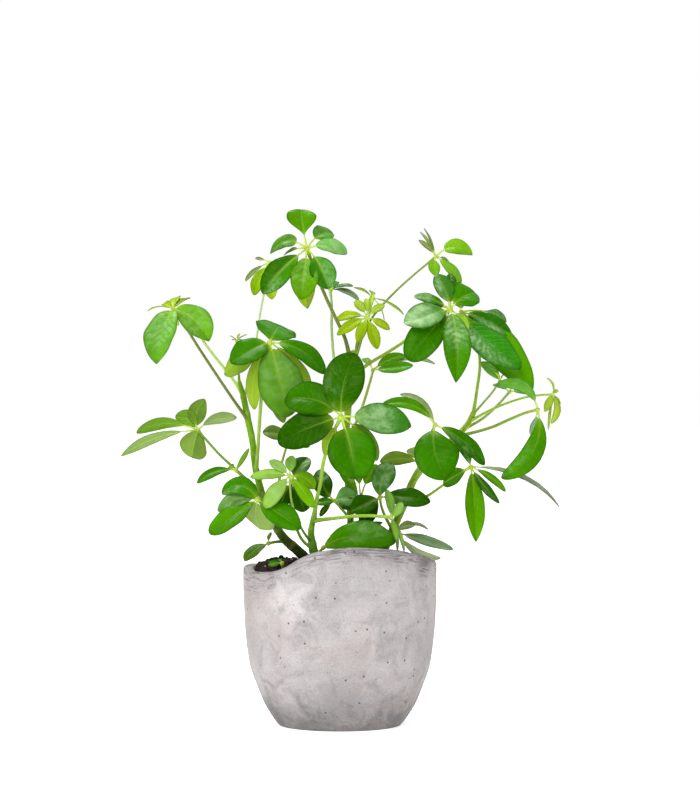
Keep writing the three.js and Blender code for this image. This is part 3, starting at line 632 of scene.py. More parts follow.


# The leaves. hub: where the leaflets meet, as x, z, depth. crown: the way the umbrella's top looks. lean: how far the
# petiole leans back and takes the leaflets with it. stalk: how long the leaflets' stalks are. age: 0 mature to 1
# young. petiole: from its stem to the hub. petioleTones: its colours from foot to head.
# leaflets: tip x, z, depth, width, and where they aren't the usual ones, sway in mm, stalk, roll in degrees and arch.
# tones: of each leaflet, an age or a colour of its upper skin, where they aren't the leaf's; the last one goes on.
# paintedSheens: painted sheen, whitish patches that stand in for highlights on single leaflets: how strong, from
# where to where along the blade, and on which side, 1 clockwise of its direction as seen, -1 the other, 0 both.
# forms: of single leaflets, or of all, where they stand out. widest: where along it a blade is widest. base and tip:
# how tapered its ends are, 0.5 round to 1 pointed. crease: how far its two sides fold, 1 as usual. quilt: how far it
# swells between its veins, 0.3 as usual. paintedHalfShade: painted light and shade across the fold, how much lighter
# its clockwise half is painted and the other darker. rib: how pale its midrib is.
leafPlan = {
    "leaf_top": dict(hub=[-24, 345, 2], crown=[0.1, -0.75, 0.65], lean=-10, stalk=9, age=0.35,
        petiole=[[7.5, 264, 8], [3.5, 280, 7], [-3, 294, 6], [-10, 309, 5], [-18, 328, 5]],
        petioleTones=["#66762c", "#86924a"], petioleWidth=1.2,
        leaflets=[[-28.5, 373, 16, 22, -1], [-50.5, 341, 6, 13, 5.5, 7], [-40.5, 340, 20, 6], [-56, 312, -8, 20],
          [-28, 308, -12, 20], [-23.5, 301, 9, 15, 2, 9, 170], [-8.5, 315.5, -6, 20, -1], [5, 341, 4, 14, -2, 6],
          [-5, 355.5, 16, 16, -2.5]],
        tones=[0.34, "#4c8a20", 0.08, 0.14, 0.38, 0.85, "#3d8c0c", "#6ab046", "#4c9024"],
        paintedSheens={1: [0.15, 0, 1.2, 0], 3: [0.5, 0.6, 1.2, -1], 4: [0.35, 0.1, 0.7, 0], 6: [0.5, 0.1, 1, -1],
          7: [0.5, 0.1, 1.2, 0], 8: [0.2, 0, 0.8, -1]},
        forms={0: {"widest": 0.66, "base": 0.9, "tip": 0.45}, 1: {"widest": 0.38, "base": 0.45, "tip": 0.8},
          3: {"paintedHalfShade": -0.25, "quilt": 0.8, "rib": 0.45}, 4: {"quilt": 1.2, "rib": 0.35}, 5: {"tip": 0.85},
          6: {"paintedHalfShade": -0.2, "quilt": 1.2, "rib": 0.4}, 7: {"base": 0.5}}),
    "leaf_top_behind": dict(hub=[-51, 335, 24], crown=[-0.3, -0.6, 0.7], lean=25, stalk=6, age=0.7,
        petiole=[[-70, 236, 0], [-64, 257, 10], [-61, 277, 16], [-58, 297, 20], [-54, 318, 23]],
        petioleTones=["#a9c48a", "#b9d59c"],
        leaflets=[[-61.5, 337.5, 26, 4, 0, 6, 80], [-62, 311, 14, 13], [-68.5, 321, 32, 5, 0, 6, 70],
          [-49, 308, 18, 12], [-38, 325, 38, 12]],
        tones=["#8d9a78", 0.6, "#8f9a6a", 0.85, 0.7]),
    "leaf_far_left": dict(hub=[-121, 301, -8], crown=[-0.35, -0.65, 0.65], lean=-22, stalk=2, age=0.4,
        petiole=[[-66.5, 220, -2], [-80, 239, -3], [-100, 269, -5], [-112, 288, -7]],
        petioleTones=["#5f6e2c", "#7d8c3c"],
        leaflets=[[-133, 261, -22, 26, 0.5], [-95, 277.5, -20, 21, -3.5], [-139.5, 299.5, 6, 1.6, 1, 2, 60],
          [-109.5, 308.5, 14, 9], [-128, 304.5, 14, 6], [-117, 289, -2, 3.5], [-117, 309.5, 16, 8]],
        tones=["#62a824", "#64a616", 0.7, 0.6, 0.8, 0.9, 0.85],
        paintedSheens={0: [0.5, 0.05, 0.7, 0], 1: [0.3, 0.2, 0.8, 0]},
        forms={0: {"widest": 0.47, "base": 0.4, "tip": 0.8, "quilt": 1.5, "paintedHalfShade": -0.1},
          1: {"base": 0.45, "tip": 0.8, "quilt": 1.3, "rib": 0.3, "paintedHalfShade": -0.15}}),
    "leaf_far_left_behind": dict(hub=[-106, 291, 12], crown=[0, -0.5, 0.9], lean=25, stalk=5, age=0.6,
        petiole=[[-71, 240, 0.5], [-78, 250.5, 3], [-92, 268, 8], [-100, 279, 11]],
        petioleTones=["#a3c05e", "#b9cf7a"],
        leaflets=[[-95, 284, 2, 8], [-103, 300, 32, 8], [-115, 300, 34, 8], [-97, 294, 28, 9]],
        tones=[0.5, 0.7, 0.6]),
    "leaf_bud_left": dict(hub=[-75, 278, 7], crown=[0, -0.4, 1], stalk=1.5, age=1,
        petiole=[[-73, 247, 2], [-74, 262, 5]],
        leaflets=[[-80, 281.5, 4, 1.8], [-72.5, 283.5, 10, 1.8], [-67.5, 282.5, 8, 1.6], [-78.5, 278.5, 0, 1.8],
          [-71, 278.5, 14, 1.8]],
        tones=["#a8bc70"]),
    "leaf_left_upper": dict(hub=[-51, 277, -18], crown=[0.05, -0.7, 0.7], lean=-20, stalk=6, age=0.1,
        petiole=[[-61, 182, -6], [-59.5, 200, -10], [-58, 225, -13], [-56, 246, -16], [-53, 264, -18]],
        petioleTones=["#8aa83a", "#9ab850"], petioleWidth=1.15,
        leaflets=[[-43, 289, 8, 31, 0, 2, 10], [-79, 261.5, -30, 23, -0.5, 3], [-38.5, 222.5, -32, 33, 0.5],
          [-11, 254, -22, 17, -3], [-21, 246, -8, 15, 0, 6, 170], [-84, 253.5, -6, 22, 0, 6, 180],
          [-62, 228, -4, 12, 4, 6, 180], [-40.5, 218.5, 8, 16, 3, 6, 180]],
        tones=[0.16, 0.14, "#5c9822", 0.16, 0.7, 0.6, 0.75, "#4f7d12"],
        paintedSheens={2: [0.2, 0.1, 0.7, 0], 0: [0.1, 0.2, 0.8, 0], 1: [0.08, 0.5, 0.9, -1]},
        forms={0: {"crease": 0}, 1: {"base": 0.5}, 2: {"base": 0.45, "rib": 0.2}, 5: {"base": 0.5}}),
    "leaf_left_reaching": dict(hub=[-103, 213, 4], crown=[-0.15, 0.9, 0.3], lean=28, stalk=9, age=0.45,
        petiole=[[-57, 169, -7], [-66, 176, -3], [-76, 185, -1], [-87, 195, 1], [-96, 205, 3]],
        petioleTones=["#5f7a2c", "#6f9a2a"],
        leaflets=[[-98, 235.5, 20, 14, -3, 5], [-119.5, 222.5, 18, 13, 3, 4], [-147.5, 211, -4, 9.5, 5],
          [-159, 194, -12, 8.5, 3, 11], [-75, 222, 18, 9, -3, 5], [-107.5, 193.5, -12, 22, 0, 0.5]],
        tones=["#6f9c34", 0.4, 0.35, "#9cba76", "#b0c68a", "#86a84a"],
        forms={1: {"base": 0.5}, 3: {"tip": 0.8}, 4: {"widest": 0.6}, 5: {"base": 0.5}}),
    "leaf_left_small": dict(hub=[-75.5, 184, -14], crown=[-0.2, -0.7, 0.5], lean=-10, stalk=4, age=0.3,
        petiole=[[-56, 163, -8], [-66, 174, -13]],
        leaflets=[[-103.5, 174.5, -24, 8.5, 2], [-66, 200, -12, 4, 1, 0.5], [-81, 186, 0, 7]],
        tones=[0.2, "#6a9a20"]),
    "leaf_left_low": dict(hub=[-60, 163, -32], crown=[-0.2, -0.75, 0.65], lean=-22, stalk=3, age=0.15,
        petiole=[[-47, 142, -8], [-51, 150, -17], [-55, 157, -26]],
        petioleTones=["#5a7a1c", "#a8c83c"],
        leaflets=[[-85.5, 167, -22, 16, 6, 0.5], [-88.5, 154.5, -28, 14, 2], [-94.5, 138, -44, 19, -2],
          [-28.5, 141.5, -44, 19, 1.5], [-58.5, 141.5, -16, 31, 0, 3, 180]],
        tones=[0.2, "#5f8f3c", "#489000", 0.2, "#7f9a58"],
        paintedSheens={0: [0.3, 0.4, 1.1, -1], 1: [0.3, 0, 1.1, 0]},
        forms={0: {"base": 0.45}, 2: {"widest": 0.6, "tip": 0.45}}),
    "leaf_young_left": dict(hub=[-36.5, 180, -44], crown=[0, -0.8, 0.6], lean=-12, stalk=3, age=0.75,
        petiole=[[-20.3, 131, -17.2], [-28, 142, -27], [-35, 161, -37]],
        petioleTones=["#6f9a2a", "#a8cc5a"],
        leaflets=[[-51, 191, -38, 8], [-35, 194.5, -36, 8], [-65, 179, -42, 9], [-54.5, 156.5, -50, 12.5],
          [-19.5, 157, -50, 9.5], [-18.5, 170.5, -42, 12, -2]],
        tones=["#98c860", "#8cc050", "#98c84c", "#98c856", "#74b408", "#70a810"],
        paintedSheens={0: [0.3, 0, 0.6, 0], 2: [0.3, 0, 0.6, -1], 3: [0.3, 0, 0.7, 0]}),
    "leaf_dark_left": dict(hub=[-35, 176, -22], crown=[0, -0.6, 0.8], stalk=4, age=0,
        petiole=[[-19.6, 126.5, -17], [-29, 136, -11], [-36, 158, -14]],
        leaflets=[[-26, 154, -28, 18], [-51, 168, -26, 8], [-23, 193, -12, 14.6], [-43, 158, -28, 14]],
        paintedSheens={2: [0.8, 0.2, 1.1, 1]},
        forms={2: {"quilt": 1.2}}),
    "leaf_lowest_left": dict(hub=[-52, 131, -20], crown=[-0.5, -0.6, 0.6], stalk=2, age=0.2,
        petiole=[[-41, 132.5, -7], [-47, 132, -15]],
        leaflets=[[-69, 118, -30, 13], [-50, 139, -14, 3.5]],
        tones=["#4f7a10"]),
    "leaf_seedling": dict(hub=[-42, 116.5, -28], crown=[0.1, -0.6, 0.8], stalk=2, age=0.15,
        petiole=[[-40, 98, -22], [-41, 108, -25]],
        leaflets=[[-52, 115, -32, 7], [-46, 119, -16, 5]]),
    "leaf_centre": dict(hub=[1, 223, -48], crown=[0, -0.88, 0.47], lean=-28, stalk=9, age=0,
        petiole=[[-19, 149.5, -21], [-17, 162, -26], [-14, 176, -32], [-12, 190, -38], [-7, 207, -44]],
        petioleTones=["#8fb83a", "#9abf40"], petioleWidth=1.3,
        leaflets=[[11, 268.5, -38, 29, -3, 3], [-40, 235, -34, 27, 4, 6], [-45, 204.5, -46, 27, -1, 6],
          [51.5, 216, -44, 24], [12, 178, -60, 34, -0.5, 10], [-11, 195, -34, 11, 0, 9, 180],
          [27, 191, -30, 13, -2, 9, 180], [9, 175, -34, 11, 0, 9, 180]],
        tones=["#2b6600", 0.1, 0, "#3c8420", 0.15, 0.75, 0],
        paintedSheens={0: [0.12, 0, 0.6, -1], 3: [0.62, 0, 0.66, 0]},
        forms={"all": {"widest": 0.5, "base": 0.52, "tip": 0.52}, 3: {"tip": 0.7},
          4: {"base": 0.45, "rib": 0.15}}),
    "leaf_young_front": dict(hub=[37, 150, -42], crown=[0.4, -0.7, 0.5], stalk=2, age=0.8,
        petiole=[[-19.5, 147.5, -20], [-6, 149, -30], [8, 150.5, -36], [22, 151, -40]],
        petioleTones=["#8cb82c", "#9cc840"], petioleWidth=1.15,
        leaflets=[[33.5, 170, -42, 7.6], [45, 161, -48, 7, 0.5], [41, 133, -50, 6], [46.5, 125, -42, 3.5],
          [41.5, 125, -38, 3], [39, 138, -34, 5]],
        tones=["#82b24a", "#8cbc58", "#7cac40", "#8ab454", "#8ab454", "#7cac40"]),
    "leaf_young_top": dict(hub=[20, 295, 0], crown=[0, -0.8, 0.6], stalk=4, age=1,
        petiole=[[11, 265, 7], [12.5, 278, 4], [16, 288, 1]],
        leaflets=[[-3, 293, 10, 8.5, 1], [-2, 282, -4, 9], [13, 276.5, -9, 8], [27, 272, -9, 9], [36, 286, -3, 7],
          [32, 304, 5, 6.5], [11, 307, 6, 7], [19, 308.5, 9, 5], [24, 312, 14, 4]],
        tones=["#a2bf14", "#9cbb10", "#98b80c", "#98b80c", "#a2bf14", "#a8c63c"]),
    "leaf_far_top": dict(hub=[-7, 315, 48], crown=[0.2, -0.4, 0.9], lean=26, stalk=2, age=0.2,
        petiole=[[5.5, 221, 11], [0, 245, 24], [-4, 262, 32], [-6, 285, 40], [-6, 303, 46]],
        petioleTones=["#a3bf6a", "#9ab86a"],
        leaflets=[[9.5, 317.5, 42, 8], [13.5, 307, 38, 10, -1, 3], [-15, 318, 54, 7], [-4, 321, 66, 9]],
        tones=["#3f7a30", "#7f9a70", 0.2]),
    "leaf_far_edge": dict(hub=[24, 309, 40], crown=[0.3, 0.2, 1], lean=22, stalk=3, age=0.7,
        petiole=[[9, 256, 10], [16, 280, 26], [21, 296, 35]],
        leaflets=[[10, 316.5, 36, 6], [46, 297, 44, 6], [32, 292.5, 34, 3], [22, 314, 54, 5]]),
    "leaf_right_top": dict(hub=[69.5, 339, 18], crown=[0.2, -0.8, 0.55], lean=22, stalk=4, age=0.8,
        petiole=[[9, 262, 9], [15, 280, 14], [25, 297, 17], [40, 313.5, 18], [55, 327, 18]],
        petioleTones=["#6f7a35", "#8b9a4a"],
        leaflets=[[96, 340, 14, 14, -5, 7], [88, 320, 10, 9], [70, 325, 8, 9, 2], [79, 335, 28, 3.5],
          [57, 351, 16, 4.5], [61, 359.5, 24, 3.5, 0, 4, 40], [58, 357, 32, 2.5]],
        tones=["#78b418", "#7ab828", "#7ab81c", "#8a9a5a"],
        forms={0: {"widest": 0.42, "base": 0.45, "tip": 0.75}}),
    "leaf_right_upper": dict(hub=[80, 301, -14], crown=[0.1, -0.75, 0.65], lean=-30, stalk=5, age=0.05,
        petiole=[[8, 250, 9.5], [19, 260, 6], [32, 268, 2], [46, 277, -3], [63, 290, -9]],
        petioleTones=["#7a8f2c", "#8ba032"], petioleWidth=1.15,
        leaflets=[[70.5, 326, -2, 14.6], [80, 326.5, 5, 9.5], [98, 312.5, -4, 25, -1], [54, 310.5, -8, 9],
          [46.5, 291, -24, 23, -2.5, 5, 0, 0.13], [50, 263.5, -26, 25, 0, 5, 0, 0.04], [73, 279, -4, 7],
          [84, 247.5, -38, 20, -2], [93, 286, -8, 9], [58, 303.5, -6, 8]],
        tones=["#37781c", 0, 0.22, 0.1, "#4c8c38", 0.16, "#a4d440", 0.2, "#a4d440", 0],
        paintedSheens={0: [0.62, 0, 1.1, -1], 3: [0.45, 0.4, 1.2, 0], 4: [0.85, 0.25, 1.3, 0], 7: [0.65, 0, 0.5, 0],
          9: [0.2, 0, 1, 0]},
        forms={0: {"widest": 0.5}, 2: {"widest": 0.55, "base": 0.45, "tip": 0.5},
          5: {"widest": 0.58, "tip": 0.45}, 7: {"widest": 0.48, "tip": 0.85, "quilt": 1, "rib": 0.3}}),
    "leaf_right_glossy": dict(hub=[88, 299, 3], crown=[0.35, -0.75, 0.55], lean=-10, stalk=5, age=0.05,
        petiole=[[96.5, 224, 0], [99, 240, 2], [101.5, 262, 4], [98, 282, 5]],
        petioleTones=["#8fb02c", "#7f9c30"],
        leaflets=[[131, 257.5, -26, 32, 8], [124.5, 280.5, 2, 15], [139, 241, -4, 34, 1],
          [120.5, 292.5, 24, 10, -1.5, 17], [92, 280, 8, 9, 0, 5, 180], [84, 304, 20, 8]],
        tones=["#2f8a08", "#2c7c06", "#5aa800", "#4f8a34", 0.8, 0.3],
        paintedSheens={0: [0.75, 0.15, 0.85, 1], 1: [0.85, 0.2, 0.78, 1], 3: [0.3, 0, 1.2, 0]},
        forms={0: {"quilt": 1.5}, 1: {"base": 0.5, "quilt": 1.5}, 3: {"widest": 0.7, "base": 0.9}}),
    "leaf_right_inner": dict(hub=[116, 248.5, 8], crown=[0, -0.4, 1], lean=6, stalk=2, age=0.8,
        petiole=[[95.5, 223.5, 0], [103, 232, 5], [110, 240, 7]],
        petioleTones=["#8aa048", "#94a860"],
        leaflets=[[101.5, 262, 2, 8, 0, 2, -60], [118.5, 253, 6, 3], [112.5, 255, -2, 3]],
        tones=["#6fae4a", 0.9]),
    "leaf_side_middle": dict(hub=[24, 257, 14], crown=[0.1, -0.8, 0.6], lean=30, stalk=4, age=0.3,
        petiole=[[4.5, 198, 11], [9.5, 213, 13], [16.5, 231, 14], [22, 249, 14]],
        petioleTones=["#8aa634", "#94ac48"],
        leaflets=[[47, 267, 22, 9, -1], [53, 260, 6, 11, 2], [69, 261, 36, 6, -4], [17, 265, 28, 6]],
        tones=[0.35, "#4f9a10", "#93ae7c", 0.4]),
    "leaf_right_hidden": dict(hub=[123, 241, 14], crown=[0.2, -0.5, 0.8], lean=22, stalk=3, age=0.3,
        petiole=[[89, 213, -2.5], [104, 222, 5], [115, 232, 10]],
        petioleTones=["#8aa048", "#94a860"],
        leaflets=[[111, 246, 18, 6], [137, 240, 12, 8], [129, 250, 34, 10]]),
    "leaf_far_right_young": dict(hub=[154, 239, 4], crown=[0.4, -0.6, 0.7], lean=12, stalk=1.5, age=0.85,
        petiole=[[94, 219.5, -1.5], [112, 229, -5], [131, 236, -1], [145, 238.5, 2]],
        petioleTones=["#8ab02c", "#9ab050"],
        leaflets=[[148.5, 226.5, -2, 6], [153, 218, 2, 6, -3], [150, 251, 6, 2, 2], [160, 232, 6, 2.4],
          [151, 213, 10, 2.4, 2], [158, 242, 12, 3]],
        tones=["#a9c63c", "#a9c63c", "#b4cc50", "#a9c63c"]),
    "leaf_far_right": dict(hub=[143.5, 228, -8], crown=[0.5, -0.9, 0.4], lean=-30, stalk=5, age=0.25,
        petiole=[[85, 208.5, -4], [108, 214.5, -6], [122, 220.5, -7], [134, 225.5, -8]],
        petioleTones=["#6f8a2c", "#94ac3c"],
        leaflets=[[117, 178.5, -20, 16, -10, 5, 0, 0.05], [139, 210, 2, 8, 1], [113, 245.5, -12, 10, 7]],
        tones=[0.25, "#8fb58a", "#5fa832"],
        paintedSheens={0: [0.15, 0.3, 1.1, 1], 1: [0.3, 0, 1.1, 0], 2: [0.15, 0, 0.8, 0]}),
    "leaf_right_low": dict(hub=[95, 186.5, -20], crown=[0.3, -0.7, 0.6], lean=-24, stalk=5, age=0.2,
        petiole=[[46, 158.5, -1], [56, 162, -8], [66, 167, -13], [80, 177, -18]],
        petioleTones=["#6f9020", "#9ab434"],
        leaflets=[[84, 206, -2, 9.5, 0, 2], [75, 175, -8, 15, -2], [98.5, 132, -36, 15, 1.5],
          [115.5, 160, -34, 8, 3], [120, 168.5, -28, 7], [159, 157.5, 4, 5, -4]],
        tones=[0.2, 0.25, 0.3, 0.05, 0.35, "#9aa68c"],
        paintedSheens={0: [0.2, 0, 1, 0], 3: [0.2, 0, 1, 1]},
        forms={2: {"tip": 0.8, "paintedHalfShade": -0.15}}),
    "leaf_right_middle": dict(hub=[69, 217, -28], crown=[-0.05, -0.75, 0.65], lean=-22, stalk=5, age=0.15,
        petiole=[[56, 181, -4], [59, 194, -10], [64, 207, -19]],
        petioleTones=["#7f9a2c", "#a3b860"],
        leaflets=[[30.5, 231.5, -26, 10, 5], [43.5, 239, -14, 6, 4, 3], [77, 177.5, -48, 32, 4.5],
          [105, 188.5, -8, 15]],
        tones=[0.3, "#8a9f6a", 0.17, 0.14],
        paintedSheens={2: [0.35, -0.2, 0.2, 0], 3: [0.25, 0, 0.7, 1]},
        forms={3: {"base": 0.5, "tip": 0.5}}),
    "leaf_right_behind": dict(hub=[58, 189, 14], crown=[0, -0.8, 0.5], lean=26, stalk=4, age=0.4,
        petiole=[[57, 182.5, -4], [58, 187, 6]],
        leaflets=[[29, 190, 10, 12, 2], [72, 201, 26, 13], [52, 200, 34, 12]],
        tones=["#6f8c2a"]),
    "leaf_middle_low": dict(hub=[29, 164.5, -24], crown=[0, -0.75, 0.65], stalk=3, age=0,
        petiole=[[38, 141, 2], [33, 150, -10], [30, 158, -18]],
        leaflets=[[38, 189, -16, 17, -2.5, 1], [65.5, 161, -30, 17, 0.5], [8, 154, -32, 17, -1],
          [16, 144, -22, 14]],
        tones=["#35761a", 0],
        paintedSheens={0: [0.5, 0.1, 1, 0], 1: [0.15, 0, 0.6, 1]}),
    "leaf_low_front": dict(hub=[-12, 128, -30], crown=[0, -0.75, 0.65], stalk=3, age=0.05,
        petiole=[[-18.5, 123, -16], [-15, 125, -24]],
        leaflets=[[40, 131.5, -39, 26, -3, 0.5, 0, 0.12], [31, 146, -32, 8]],
        tones=[0.26, 0.12],
        paintedSheens={0: [0.45, 0.45, 0.85, -1]}),
    "leaf_dark_middle": dict(hub=[-4, 162, -12], crown=[0, -0.7, 0.7], stalk=4, age=0,
        petiole=[[7.5, 147, 11.5], [4.5, 152, 3]],
        petioleTones=["#8fb030", "#a0c040"],
        leaflets=[[-14, 184.5, -12, 15, -4], [12.5, 164.5, -11, 19, 0, 1], [10, 157, -18, 12],
          [-14.5, 150.5, -12, 5], [-18, 160.5, -15, 8, -1, 1]],
        tones=[0, "#5a9a40", 0, 0, 0.25],
        paintedSheens={0: [0.75, 0.6, 1.2, 0], 1: [0.3, 0, 1, 0]},
        forms={0: {"quilt": 1}}),
    "leaf_olive_middle": dict(hub=[15, 163, 4], crown=[0, -0.7, 0.7], lean=-6, stalk=12, age=0.4,
        petiole=[[7.5, 150, 11], [11, 156, 8]],
        petioleTones=["#8fa030", "#8fa030"],
        leaflets=[[12, 190, 8, 8], [27, 188, 8, 11, -1], [-2, 193, 6, 9, -2, 4]]),
    "leaf_back_left": dict(hub=[-37, 207, 12], crown=[-0.1, -0.7, 0.7], lean=32, stalk=4, age=0.4,
        petiole=[[-50.5, 150, -8], [-45, 172, 0], [-42, 190, 6]],
        leaflets=[[-56, 211.5, 8, 14, 0, 1], [-30, 222, 24, 13], [-22, 202, 18, 13]],
        tones=["#6d8a3a", "#6d8a3a", 0.4]),
    "leaf_low_right": dict(hub=[41, 139, 14], crown=[0.1, -0.8, 0.6], lean=16, stalk=6, age=0.45,
        petiole=[[33, 128, 3.5], [36, 134, 9]],
        leaflets=[[54.5, 144, 6, 7.6, -1.5, 3], [64, 141, 22, 3, -4], [82, 126.5, 6, 9, 2],
          [73, 120.5, 34, 7.6, 8]],
        tones=["#9aa870", "#a9b08c", "#8fac80", "#b9c49c"]),
}

leafSettings = {
    "thickness": 0.5,
    "arch": 0.09,  # rise of a blade's midrib, as a share of its length
    "creaseRise": 0.42,  # how each half of a blade lifts from its midrib, and how its edge turns back down
    "edgeFall": 0.3,
    "wave": 0.05,
    "waves": (1.4, 2.4),  # along a blade's edge
    "twist": 7,
    "widest": (0.5, 0.56),  # where along it a blade is widest, and how its ends taper
    "base": (0.58, 0.7),
    "tip": (0.5, 0.62),
    "lopsided": 0.05,
    "quilt": 0.3,
    # painted light and shade: by up to this share, one half of a blade is painted lighter and the other darker, at
    # random
    "paintedHalfShade": 0.12,
    "stalkRadius": 0.85,
    "petioleTones": ["#6f8c24", "#8ca838"],
    "knobTone": "#b4b84a",
    "stalkTone": "#b0ca4c",
    "midribTones": ("#a0c440", "#a4cc58"),  # underneath and on top
    "footTone": "#a8c832",  # towards which a blade pales at its foot
    "edgeShade": 0.4,  # how much darker its edge is
    "ribSteps": 12,
    "ribEnd": 0.92,  # how far towards the tip the midrib goes
    "noPaintedSheen": (0, 0, 1, 0),
    # grid columns and rows by the blade's width in mm
    "grids": [(14, 10, 22), (7.4, 8, 15), (0, 4, 10)],
    # upper skin by age
    "tones": [(0, "#255c00"), (0.2, "#3a8600"), (0.4, "#5fa004"), (0.6, "#86b00c"), (0.8, "#a4c210"), (1, "#c2d41c")],
}


# The leaf skins share their pattern: a pale midrib, side veins 5 mm apart that run forward, and quilting between
# them. The upper skin is waxy with broad, soft highlights; the lower one is paler, more olive and nearly matt. Both
# carry painted sheen: whitish patches painted in as highlights.
def makeLeafSkin(name, upper):
    material, add = startMaterial(name)
    place = add("TexCoord").outputs["Object"]
    tone = add("Attribute", attribute_name="leafTone")
    spread = add("UVMap", uv_map="bladeMm")
    span = add("SeparateXYZ", spread)
    across = add("Math", span.outputs["X"], operation="ABSOLUTE")
    wobble = add("TexNoise", {"Vector": spread, "Scale": 0.15, "Detail": 4, "Roughness": 0.6})
    lag = add("Math", across, -0.75, span.outputs["Y"], operation="MULTIPLY_ADD")
    drift = add("Math", wobble, 11.0, lag, operation="MULTIPLY_ADD")
    phase = add("Math", drift, math.pi / 5, operation="MULTIPLY")
    wave = add("Math", phase, operation="SINE")
    swell = add("Math", wave, operation="ABSOLUTE")
    vein = add("ValToRGB", swell, stops=[(0, 1), (0.22, 0)])
    ribWidth = add("MapRange", span.outputs["Y"], 0.0, 30.0, 1.5, 0.45)
    ribSpan = add("Math", across, ribWidth, operation="DIVIDE")
    rib = add("MapRange", ribSpan, 0.2, 1.0, 1.0, 0.0)
    mottle = add("TexNoise", {"Vector": place, "Scale": 1 / (9 * mm), "Detail": 4, "Roughness": 0.55})
    shade = add("ValToRGB", mottle, stops=[(0.3, 0.78), (0.7, 1)])
    colour = add("Mix", 1.0, tone.outputs["Color"], shade, **tinted)
    if not upper:
        colour = add("Mix", 0.4, colour, "#8fae48", data_type="RGBA")
    pale = linearColour("#9cc43c")
    veinShare = add("Math", vein, 0.12, operation="MULTIPLY")
    colour = add("Mix", veinShare, colour, pale, data_type="RGBA")
    ribPaleness = add("MapRange", span.outputs["Y"], 4.0, 34.0, 0.3, 0.06)
    ribShare = add("Math", rib, ribPaleness, operation="MULTIPLY")
    colour = add("Mix", ribShare, colour, pale, data_type="RGBA")
    # painted sheen: whitish cloudy patches painted in as highlights, thinner over the veins of quilted blades
    paintedSheenLayout = add("TexNoise", {"Vector": place, "Scale": 1 / (5 * mm), "Detail": 7, "Roughness": 0.72, "Distortion": 0.4})
    gaps = add("ValToRGB", paintedSheenLayout, stops=[(0.42, 0.95), (0.58, 0)])
    valley = add("Math", swell, 0.9, -0.9, operation="MULTIPLY_ADD")
    thinned = add("Math", valley, tone.outputs["Alpha"], 1.0, operation="MULTIPLY_ADD", use_clamp=True)
    bloom = add("Attribute", attribute_name="bloom").outputs["Fac"]
    # the stronger it is, the more it closes
    openness = add("Math", 1.35, bloom, operation="SUBTRACT")
    missing = add("Math", gaps, openness, operation="MULTIPLY", use_clamp=True)
    closed = add("Math", 1.0, missing, operation="SUBTRACT")
    paintedSheenShare = add("Math", bloom, closed, operation="MULTIPLY")
    paintedSheenShare = add("Math", paintedSheenShare, thinned, operation="MULTIPLY")
    colour = add("Mix", paintedSheenShare, colour, "#a2c68c", data_type="RGBA")
    quilt = add("Math", swell, tone.outputs["Alpha"], operation="MULTIPLY")
    pores = add("TexNoise", {"Vector": place, "Scale": 1 / (1.6 * mm), "Detail": 3})
    relief = add("Math", pores, 0.25, quilt, operation="MULTIPLY_ADD")
    relief = add("Math", rib, -0.5, relief, operation="MULTIPLY_ADD")
    bump = add("Bump", {"Strength": 0.5, "Distance": 0.5 * mm, "Height": relief}, invert=not upper)
    gloss = add("MapRange", mottle, 0.3, 0.7, 0.1 if upper else 0.5, 0.22 if upper else 0.65)
    skin = add("BsdfPrincipled", {
        "Base Color": colour, "Roughness": gloss, "Normal": bump, "Specular IOR Level": 0.06 if upper else 0.02,
        "Specular Tint": "#e4ee98"})
    glow = add("Mix", 0.35, colour, "#a8d010", data_type="RGBA")
    through = add("BsdfTranslucent", {"Color": glow, "Normal": bump})
    shader = add("MixShader", 0.2, skin, through)
    add("OutputMaterial", shader)
    return material


# petiole: smooth, round and a little waxy, with fine patches over its own colours
def makePetioleSkin():
    material, add = startMaterial("petioleSkin")
    place = add("TexCoord").outputs["Object"]
    tone = add("Attribute", attribute_name="leafTone").outputs["Color"]
    patches = add("TexNoise", {"Vector": place, "Scale": 1 / (3 * mm), "Detail": 3})
    shade = add("ValToRGB", patches, stops=[(0.3, 0.85), (0.65, 1.05)])
    colour = add("Mix", 1.0, tone, shade, **tinted)
    bump = add("Bump", {"Strength": 0.3, "Distance": 0.15 * mm, "Height": patches})
    shader = add("BsdfPrincipled", {
        "Base Color": colour, "Roughness": 0.42, "Normal": bump, "Specular IOR Level": 0.12})
    add("OutputMaterial", shader)
    return material


# flat grids that are copied for the blades, one for each fineness
def makeBladePatterns():
    patterns = []
    for width, columns, rows in leafSettings["grids"]:
        deselectAll()
        bpy.ops.mesh.primitive_grid_add(x_subdivisions=columns, y_subdivisions=rows, size=2, location=(0, 0, 0))
        pattern = bpy.context.object
        pattern.data.uv_layers[0].name = "bladeMm"
        pattern.data.color_attributes.new("leafTone", "FLOAT_COLOR", "POINT")
        pattern.data.attributes.new("bloom", "FLOAT", "POINT")
        patterns.append((width, pattern))
    return patterns


